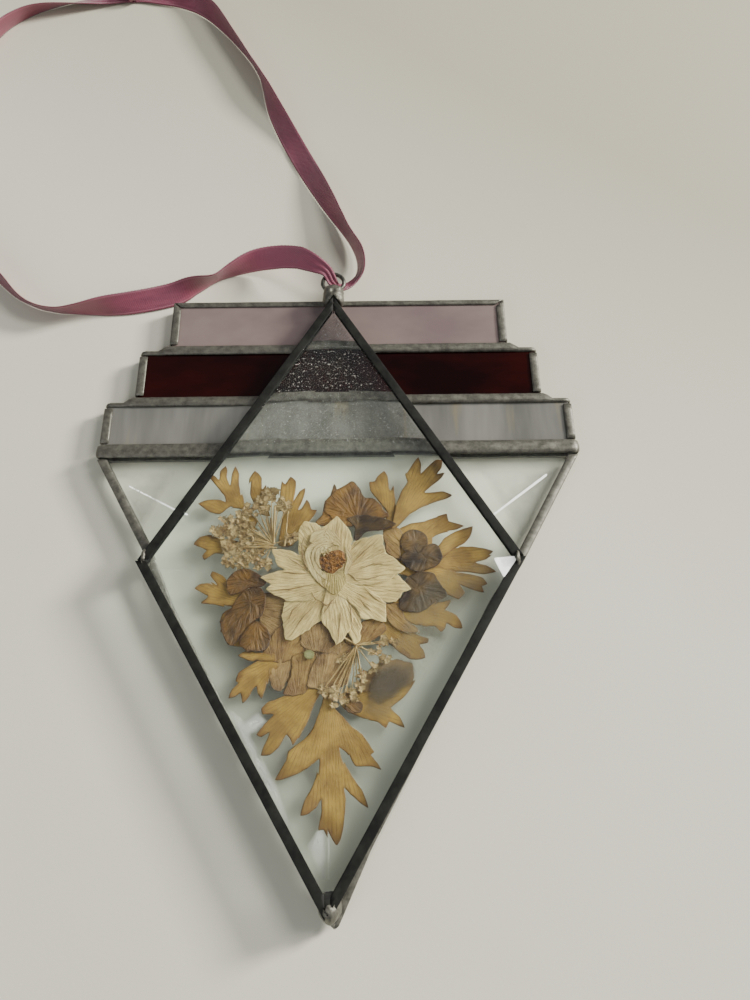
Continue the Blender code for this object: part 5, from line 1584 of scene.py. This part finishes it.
@dataclass
class Umbel:
    """A flower umbel: stalks from one foot, each with a crumpled floret."""

    name: str
    node: str
    foot: tuple[float, float]
    height: float
    florets: tuple[tuple[float, float], ...]
    stalks: tuple[tuple[tuple[float, float], tuple[float, float], float], ...]
    radius: float = 1.25
    copies: int = 8
    scatter: float = 1.6
    seed: int = 1

    def build(self, maker: Maker) -> None:
        """Make the florets and the stalks.

        Args:
            maker: makes the pieces.
        """
        chance = random.Random(self.seed)
        bm = bmesh.new()
        for x, y in self.florets:
            for _ in range(self.copies):
                place = Vector((x + chance.uniform(-1, 1) * self.scatter,
                                y + chance.uniform(-1, 1) * self.scatter,
                                self.height + chance.uniform(-0.1, 0.42)))
                self.floret(bm, place, self.radius * chance.uniform(0.6, 1.1), chance)
        mark_plain(bm, 0.42)
        maker.piece(self.name + "_florets", bm, Finishes.floret, (self.node,), 40.0)
        bm = bmesh.new()
        for x, y in self.florets:
            self.stalk(bm, Vector((*self.foot, self.height)), Vector((x, y, self.height)), 0.13, chance)
        for start, end, radius in self.stalks:
            self.stalk(bm, Vector((*start, self.height + 0.2)), Vector((*end, self.height + 0.25)), radius,
                       chance)
        mark_plain(bm)
        maker.piece(self.name + "_stalks", bm, Finishes.stalk, (), 60.0)

    def floret(self, bm: bmesh.types.BMesh, place: Vector, radius: float, chance: random.Random) -> None:
        """Add one crumpled floret to a mesh.

        Args:
            bm: the mesh.
            place: the floret's middle.
            radius: its radius in mm.
            chance: gives its shape.
        """
        made = bmesh.ops.create_circle(bm, cap_ends=True, cap_tris=True, segments=10, radius=radius)["verts"]
        faces = list({face for vert in made for face in vert.link_faces})
        middle = min(made, key=lambda vert: vert.co.length)
        for index, vert in enumerate(vert for vert in made if vert is not middle):
            vert.co *= (1.0 if index % 2 else 0.62) * chance.uniform(0.85, 1.12)
            vert.co.z = chance.uniform(-0.18, 0.22)
        middle.co.z = -0.12
        wall = bmesh.ops.extrude_face_region(bm, geom=faces)["geom"]
        lifted = [item for item in wall if isinstance(item, bmesh.types.BMVert)]
        bmesh.ops.translate(bm, verts=lifted, vec=(0.0, 0.0, 0.12))
        whole = list(set(made) | set(lifted))
        matrix = Matrix.Translation(place) @ Matrix.Rotation(chance.uniform(0, 6.3), 4, "Z")
        matrix = matrix @ Matrix.Rotation(chance.uniform(-0.35, 0.35), 4, "X")
        bmesh.ops.transform(bm, matrix=matrix, verts=whole)
        bmesh.ops.recalc_face_normals(bm, faces=list({face for vert in whole for face in vert.link_faces}))

    def stalk(self, bm: bmesh.types.BMesh, start: Vector, end: Vector, radius: float,
              chance: random.Random) -> None:
        """Add one thin, slightly bent stalk to a mesh.

        Args:
            bm: the mesh.
            start: where it starts.
            end: where it ends.
            radius: its radius in mm.
            chance: gives its bend.
        """
        way = end - start
        length = way.length
        made = bmesh.ops.create_cone(bm, cap_ends=True, segments=7, radius1=radius * 1.25, radius2=radius,
                                     depth=length)["verts"]
        edges = {edge for vert in made for edge in vert.link_edges}
        faces = {face for vert in made for face in vert.link_faces}
        geometry = [*made, *edges, *faces]
        for share in (-0.3, -0.1, 0.1, 0.3):
            geometry = bmesh.ops.bisect_plane(bm, geom=geometry, plane_co=(0.0, 0.0, share * length),
                                              plane_no=(0.0, 0.0, 1.0))["geom"]
        whole = [item for item in geometry if isinstance(item, bmesh.types.BMVert)]
        bow = chance.uniform(-0.06, 0.06) * length
        for vert in whole:
            t = vert.co.z / length + 0.5
            vert.co.x += bow * math.sin(math.pi * t)
        turn = way.to_track_quat("Z", "X").to_matrix().to_4x4()
        bmesh.ops.transform(bm, matrix=Matrix.Translation((start + end) / 2) @ turn, verts=whole)


UMBELS = (
    Umbel("umbel_left", "umbel_left", (-16.6, 89.4), 6.15, ((-19.7, 103.1), (-17.6, 103), (-15.5, 100.8),
          (-13.6, 99.4), (-21.6, 100.6), (-22.8, 98.8), (-24.7, 97), (-19.5, 99.8), (-26.6, 95.6),
          (-29.3, 95.7), (-31.1, 93.6), (-29, 92.1), (-27.1, 93.5), (-25.3, 94.9), (-23.2, 94.2),
          (-24.4, 91), (-25.8, 92.8), (-28.9, 89.7), (-26.2, 88.6), (-24.2, 87.9), (-27.8, 87.3),
          (-27.9, 84.8), (-25.3, 84.5), (-22.8, 84.8), (-21.5, 86.2), (-19.9, 85.5), (-18.8, 84.1),
          (-21.4, 90.8), (-11.8, 91.2)), (((-16.6, 89.4), (-20.6, 94.6), 0.2), ((-16.6, 89.4), (-19.7, 96),
          0.2), ((-16.6, 89.4), (-18.7, 96.2), 0.2), ((-16.6, 89.4), (-17.6, 96.6), 0.2), ((-16.4, 89.4),
          (-16.5, 100), 0.28), ((-13.6, 88.6), (-13, 98.4), 0.22), ((-24.6, 90.2), (-16.4, 89), 0.26),
          ((-24.4, 88.4), (-15.6, 88.2), 0.26), ((-22, 87.4), (-17.8, 89), 0.24)), seed=4),
    Umbel("umbel_bottom", "umbel_bottom", (5, 62.6), 6.15, ((1.9, 59.8), (12.2, 63.8), (14, 63.3),
          (9.5, 60.9), (12.2, 59.1), (9.1, 57), (6.2, 55.6), (6.3, 52.9), (-3.2, 51.8), (-1.6, 51.4),
          (0, 51.8), (0.8, 50.2), (-0.6, 49.4), (1.9, 49.8), (3.7, 50.8), (5, 49.8)), (((5, 62.6), (-2, 67),
          0.22), ((5, 62.6), (4, 58), 0.2), ((5, 62.6), (8.6, 63.4), 0.22)), radius=1.1, copies=5,
          scatter=1.1, seed=9),
)


@dataclass
class Ribbon:
    """The satin ribbon, a free loop through the ring, and the knot that closes it."""

    width: float = 7.0
    thickness: float = 0.30
    gather_width: float = 3.0
    step: float = 0.5
    strands: int = 14
    length: float = 0.4765
    stretch_steps: int = 24
    hold_reach: float = 14.0
    settle_reach: float = 24.0
    knot_middle: tuple[float, float, float] = (-80.0, 314.4, 3.0)
    route: tuple = (
        (-1.7, 173.2, 8.0, -6, 1.0),
        (-3.4, 175.7, 9.8, -14, 0.9),
        (-6.6, 178.2, 9.9, -30, 0.5),
        (-11.4, 181.2, 9.4, -42, 0.1),
        (-18.4, 184.0, 8.6, -40, 0.0),
        (-26.1, 184.4, 7.6, -62, 0.0),
        (-33.7, 181.9, 6.6, -94, 0.0),
        (-39.0, 178.8, 5.6, -108, 0.0),
        (-44.7, 176.3, 5.2, -80, 0.0),
        (-51.8, 173.4, 5.2, -44, 0.0),
        (-66.1, 169.9, 5.4, -54, 0.0),
        (-80.1, 167.7, 6.0, -100, 0.0),
        (-88.0, 167.8, 6.2, -112, 0.0),
        (-95.8, 170.8, 6.0, -104, 0.0),
        (-104.6, 178.6, 5.6, -80, 0.0),
        (-122.0, 198.0, 4.8, -82, 0.0),
        (-131.0, 219.0, 4.4, -84, 0.0),
        (-135.0, 243.0, 4.4, -84, 0.0),
        (-134.0, 270.0, 4.6, -84, 0.0),
        (-130.0, 286.0, 4.6, -80, 0.0),
        (-124.4, 297.4, 4.8, -72, 0.0),
        (-115.6, 305.0, 4.8, -60, 0.0),
        (-103.6, 309.6, 4.2, -36, 0.0),
        (-90.0, 313.2, 3.4, -10, 0.4),
        (-80.0, 314.4, 3.0, 0, 1.0),
        (-70.0, 314.0, 3.4, 20, 0.4),
        (-59.0, 311.4, 4.2, 40, 0.0),
        (-49.4, 304.0, 4.8, 62, 0.0),
        (-39.6, 289.4, 5.6, 92, 0.0),
        (-30.4, 272.4, 6.0, 100, 0.0),
        (-22.8, 251.8, 5.4, 50, 0.0),
        (-14.0, 232.1, 4.8, 22, 0.0),
        (-5.5, 213.5, 4.8, 50, 0.0),
        (2.3, 196.7, 5.2, 84, 0.0),
        (6.4, 186.4, 5.6, 76, 0.0),
        (6.6, 179.4, 5.4, 60, 0.3),
        (3.9, 175.0, 5.1, 34, 0.8),
        (0.6, 173.0, 5.7, 6, 1.0),
    )

    def stations(self) -> list[tuple[Vector, Vector, Vector, float]]:
        """Step evenly along the loop.

        Returns:
            Each step's place, side, upward way and gather.
        """
        count = len(self.route)
        fine = []
        for index in range(count):
            near = [self.route[(index + shift) % count] for shift in (-1, 0, 1, 2)]
            for step in range(self.stretch_steps):
                t = step / self.stretch_steps
                fine.append([0.5 * (2 * b + (c - a) * t + (2 * a - 5 * b + 4 * c - d) * t ** 2
                                    + (3 * b - a - 3 * c + d) * t ** 3) for a, b, c, d in zip(*near)])
        fine.append(fine[0])
        travelled = [0.0]
        for one, other in zip(fine, fine[1:]):
            travelled.append(travelled[-1] + math.dist(one[:3], other[:3]))
        total = travelled[-1]
        steps = int(total / self.step)
        rows = []
        cursor = 0
        for index in range(steps):
            goal = total * index / steps
            while travelled[cursor + 1] < goal:
                cursor += 1
            t = (goal - travelled[cursor]) / (travelled[cursor + 1] - travelled[cursor])
            rows.append([a + (b - a) * t for a, b in zip(fine[cursor], fine[cursor + 1])])
        made = []
        for index, (x, y, z, lean, gather) in enumerate(rows):
            before = Vector(rows[index - 1][:3])
            after = Vector(rows[(index + 1) % steps][:3])
            ahead = (after - before).normalized()
            level = ahead.cross(Vector((0.0, 0.0, 1.0))).normalized()
            side = Matrix.Rotation(math.radians(lean), 3, ahead) @ level
            from_ring = min(index, steps - index) * self.step
            slack = max(0.0, z - self.width / 2 * abs(side.z) - 0.20 * abs(side.cross(ahead).z) - 0.04)
            z -= slack * min(max((from_ring - self.hold_reach) / self.settle_reach, 0.0), 1.0)
            made.append((Vector((x, y, z)), side, side.cross(ahead), min(max(gather, 0.0), 1.0)))
        return made

    def build(self, maker: Maker) -> None:
        """Args:
            maker: makes the pieces.
        """
        stations = self.stations()
        count = len(stations)
        bm = bmesh.new()
        bmesh.ops.create_grid(bm, x_segments=count, y_segments=self.strands, size=0.5)
        layer = bm.loops.layers.uv.new("strip")
        for face in bm.faces:
            for loop in face.loops:
                place = loop.vert.co
                loop[layer].uv = ((place.x + 0.5) * count * self.step, place.y * self.width)
        for vert in bm.verts:
            index = round((vert.co.x + 0.5) * count)
            v = vert.co.y * 2
            place, side, up, gather = stations[index % count]
            half = (self.width + (self.gather_width - self.width) * gather) / 2
            if abs(v) > 0.99:
                half += 0.07 * (1 if index % 2 else -1)
            pleat = gather * 0.28 * math.cos(v * 2.5 * math.pi)
            cup = 0.10 * (1 - gather) * (v * v - 0.4)
            flutter = 0.06 * (1 - gather) * v * unevenness(Vector((index * self.step, v * 2, 0.0)), 5.0)
            vert.co = place + side * half * v + up * (pleat + cup + flutter)
            vert.co.z = max(vert.co.z, 0.03 + 0.16 * abs(up.z))
        bmesh.ops.remove_doubles(bm, verts=bm.verts, dist=0.0005)
        band = maker.piece("ribbon_band", bm, Finishes.ribbon, ("ribbon",), 80.0, self.thickness)
        knot = self.knot(maker)
        path = [(PANEL_TO_WORLD @ place)[:] for place, _, _, _ in stations[::4]]
        path.append(path[0])

    def knot(self, maker: Maker) -> bpy.types.Object:
        """Make the knot: a tight wrap with two cut tails.

        Args:
            maker: makes the piece.

        Returns:
            The knot.
        """
        bm = bmesh.new()
        bmesh.ops.create_uvsphere(bm, u_segments=48, v_segments=28, radius=1.0)
        bmesh.ops.rotate(bm, cent=(0, 0, 0), matrix=Matrix.Rotation(math.pi / 2, 3, "Y"), verts=bm.verts)
        for vert in bm.verts:
            turn = math.atan2(vert.co.z, vert.co.y)
            fold = 0.10 * math.sin(9.0 * vert.co.x + turn)
            fold += 0.05 * math.sin(7.0 * vert.co.x + 2 * turn)
            flat = Vector((vert.co.x * 3.3, vert.co.y * 2.9 * (1 + fold), vert.co.z * 2.55 * (1 + fold)))
            vert.co = flat + Vector(self.knot_middle)
            vert.co.z = max(vert.co.z, 0.15)
        for route, slant in ((((-81.4, 316.2, 2.8), (-86.6, 321.8, 1.6), (-94.6, 326.8, 0.9)), 1.0),
                             (((-78.6, 316.2, 2.8), (-73.4, 322.8, 1.6), (-68.2, 329.6, 0.9)), -1.0)):
            self.tail(bm, [Vector(point) for point in route], slant)
        layer = bm.loops.layers.uv.new("strip")
        for face in bm.faces:
            for loop in face.loops:
                place = loop.vert.co
                loop[layer].uv = ((place.x + place.y) * 0.8, (place.y - self.knot_middle[1]) * 0.4)
        return maker.piece("knot", bm, Finishes.ribbon, ("ribbon_knot",), 60.0)

    def tail(self, bm: bmesh.types.BMesh, route: list[Vector], slant: float) -> None:
        """Add one tail of the knot to a mesh, with a slanting cut end.

        Args:
            bm: the mesh.
            route: its start, middle and end.
            slant: which way its end is cut.
        """
        made = bmesh.ops.create_grid(bm, x_segments=8, y_segments=26, size=0.5)["verts"]
        for vert in made:
            across = vert.co.x * 2
            t = vert.co.y + 0.5
            place = route[0] * (1 - t) ** 2 + route[1] * 2 * t * (1 - t) + route[2] * t * t
            ahead = ((route[1] - route[0]) * (1 - t) + (route[2] - route[1]) * t).normalized()
            side = ahead.cross(Vector((0.0, 0.0, 1.0))).normalized()
            half = 1.6 + 1.4 * min(t * 2.2, 1.0)
            trim = ahead * slant * across * 1.6 * max(t - 0.75, 0.0) * 4.0
            lift = Vector((0.0, 0.0, 0.16 * math.sin(t * 7.0 + across)))
            vert.co = place + side * across * half - trim + lift
        faces = list({face for vert in made for face in vert.link_faces})
        bmesh.ops.solidify(bm, geom=faces, thickness=self.thickness)


@dataclass
class Panes:
    """The clear panes and the coloured bars, which keep their CAD shapes, and the films on and between them:
    dust, damp, painted shade, painted highlights and painted light.
    """

    rows: tuple = (
        ("back_triangle_glass", Finishes.clear),
        ("front_diamond_glass", Finishes.clear),
        ("pink_opal_bar", Finishes.pink),
        ("ruby_glass_bar", Finishes.ruby),
        ("wispy_white_bar", Finishes.wispy),
    )
    films: tuple = (
        ("dust_over_bars", Finishes.dust, 7.6, ((-28.4, 117.6), (25.6, 117.6), (-1.4, 162.2))),
        ("moist_patch", Finishes.smudge, 7.5, ((7.8, 53.2), (9.8, 56.3), (13.7, 58.5), (18.2, 58.8),
            (19.4, 56.2), (18, 52.4), (14.1, 50), (10.3, 48.2), (7.5, 49.5))),
        ("moist_haze", Finishes.haze, 7.56, ((35.9, 84.5), (40.2, 83.1), (38.1, 77.5), (34.6, 74.8),
            (30.3, 69.4), (22, 55), (12, 44), (6, 46), (9, 56), (15.8, 65.7), (18.7, 75), (26.2, 81.1))),
        # painted shade over the back triangle's clear corners beside the front pane
        ("painted_shade_veil_left", Finishes.veil, 4.95, ((-63.9, 112.6), (-44.1, 112.3), (-52.5, 93.4))),
        ("painted_shade_veil_right", Finishes.veil, 4.95, ((38.6, 111.3), (60.2, 111), (48.7, 90.7))),
        # painted highlights: reflections along the back triangle's bevel mitres
        ("mitre_glint_left", Finishes.glint, 5.05, ((-57.6, 107.7), (-57, 107.8), (-39.4, 98.4),
            (-39.6, 97.9))),
        ("mitre_glint_right", Finishes.glint, 5.05, ((57.3, 109.9), (57.7, 109.4), (40.9, 96.8),
            (40.7, 97.4))),
        # painted light: a pale line for light bent by the front pane's bevel at its left corner
        ("glint_left_corner", Finishes.caustic_light, 7.6, ((-47.4, 83), (-37.1, 82.4), (-37.1, 81.9),
            (-47.4, 82.3))),
        # painted highlight: a reflection on the front pane's bevel at its right corner
        ("glint_right_corner", Finishes.glint, 10.7, ((40, 83.9), (45.4, 84.4), (45.8, 83.3),
            (42.3, 78.6))),
        # painted light: pale patches for light bent by the bevels by the bottom tip and along the lower left
        # side
        ("painted_light_tip", Finishes.caustic_light, 5.1, ((-6.2, 18), (-1.5, 24.8), (-1.3, 7.6))),
        ("painted_light_side", Finishes.caustic_light, 5.1, ((-26.5, 49.2), (-21.9, 46), (-12.3, 29.4), (-8.8, 19.8),
            (-13.4, 24.9), (-21.4, 39.3))),
        ("painted_light_streak", Finishes.caustic_light, 5.15, ((-24, 44.4), (-18.2, 47.6), (-14.6, 44), (-20.9, 41.6))),
    )

    def build(self, maker: Maker) -> None:
        """Give each piece of glass its finish, and lay the films of dust, damp, painted shade and painted
        light.

        Args:
            maker: makes the pieces.
        """
        for node, finish in self.rows:
            maker.dress_node(node, finish)
        for name, finish, height, points in self.films:
            self.film(maker, name, finish, height, points)

    def film(self, maker: Maker, name: str, finish: Finish, height: float, points: tuple) -> None:
        """Lay a thin, see-through film inside or on a pane.

        Args:
            maker: makes the piece.
            name: its name.
            finish: its finish.
            height: its height in mm.
            points: its outline in mm.
        """
        outline = [Vector(point) for point in points]
        ribs = [(outline[0], outline[1])]
        broad = len(points) == 3 or len(points) > 6
        fineness = 1.6 if broad else 0.5
        PressedSheet(name, outline, ribs, height, finish, (), wave=0.01, ragged=0.02, fineness=fineness,
                     thickness=0.02).build(maker)


@dataclass
class Studio:
    """The floor, the lights and the camera."""

    lamps: tuple = (
        ("key", (0.66, 0.22, 0.80), 0.30, 5.6, (1.0, 0.98, 0.95)),
        ("low", (1.80, 0.75, 0.90), 0.42, 80.0, (1.0, 0.97, 0.92)),
        ("fill", (-0.50, -0.50, 0.50), 0.4, 1.6, (0.92, 0.96, 1.0)),
    )
    sky: float = 0.27
    sky_colour: Colour = (0.93, 0.95, 1.0)
    floor_reach: float = 1.5
    lens: float = 27.036
    eye: tuple[float, float, float] = (0.0090, -0.0640, 0.1929)
    turn: tuple[float, float, float] = (22.67, -0.03, -0.75)

    def build(self, maker: Maker) -> None:
        """Set up the studio.

        Args:
            maker: gives the floor's material.
        """
        self.floor(maker)
        for name, place, size, energy, colour in self.lamps:
            self.lamp(name, place, size, energy, colour)
        world = bpy.data.worlds.new("sky")
        world.use_nodes = True
        back = world.node_tree.nodes["Background"]
        back.inputs["Color"].default_value = (*self.sky_colour, 1.0)
        back.inputs["Strength"].default_value = self.sky
        bpy.context.scene.world = world

    def floor(self, maker: Maker) -> None:
        """Lay the floor.

        Args:
            maker: gives its material.
        """
        bm = bmesh.new()
        bmesh.ops.create_grid(bm, x_segments=2, y_segments=2, size=self.floor_reach)
        mesh = bpy.data.meshes.new("floor")
        bm.to_mesh(mesh)
        bm.free()
        made = bpy.data.objects.new("floor", mesh)
        mesh.materials.append(maker.material(Finishes.board))
        made.location.z = -0.0001
        bpy.context.scene.collection.objects.link(made)
        made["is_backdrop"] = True

    def lamp(self, name: str, place: tuple, size: float, energy: float, colour: Colour) -> None:
        """Hang an area lamp that points at the panel's middle.

        Args:
            name: its name.
            place: where it hangs.
            size: its width.
            energy: its power.
            colour: its colour.
        """
        data = bpy.data.lights.new(name, "AREA")
        data.size = size
        data.energy = energy
        data.color = colour
        made = bpy.data.objects.new(name, data)
        made.location = place
        made.rotation_euler = (-Vector(place)).to_track_quat("-Z", "Y").to_euler()
        bpy.context.scene.collection.objects.link(made)

    def camera(self) -> None:
        """Set up the camera at the photograph's angle."""
        data = bpy.data.cameras.new("camera")
        data.lens = self.lens
        data.sensor_width = 36.0
        data.clip_start = 0.005
        made = bpy.data.objects.new("camera", data)
        made.location = self.eye
        made.rotation_euler = [math.radians(angle) for angle in self.turn]
        bpy.context.scene.collection.objects.link(made)
        bpy.context.scene.camera = made


def corners() -> list[list[float]]:
    """Return the shown object's lowest and highest corner as plain lists."""
    return [list(corner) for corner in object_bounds()]


def main() -> None:
    """Dress the whole hanging."""
    logging.basicConfig(level=logging.INFO, format="%(name)s: %(message)s")
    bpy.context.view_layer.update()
    maker = Maker()
    studio = Studio()
    studio.camera()
    Ribbon().build(maker)
    Panes().build(maker)
    SolderWork().build(maker)
    Foliage().build(maker)
    BrownPetals().build(maker)
    for umbel in UMBELS:
        umbel.build(maker)
    WhiteFlower().build(maker)
    studio.build(maker)


if __name__ == "__main__":
    main()
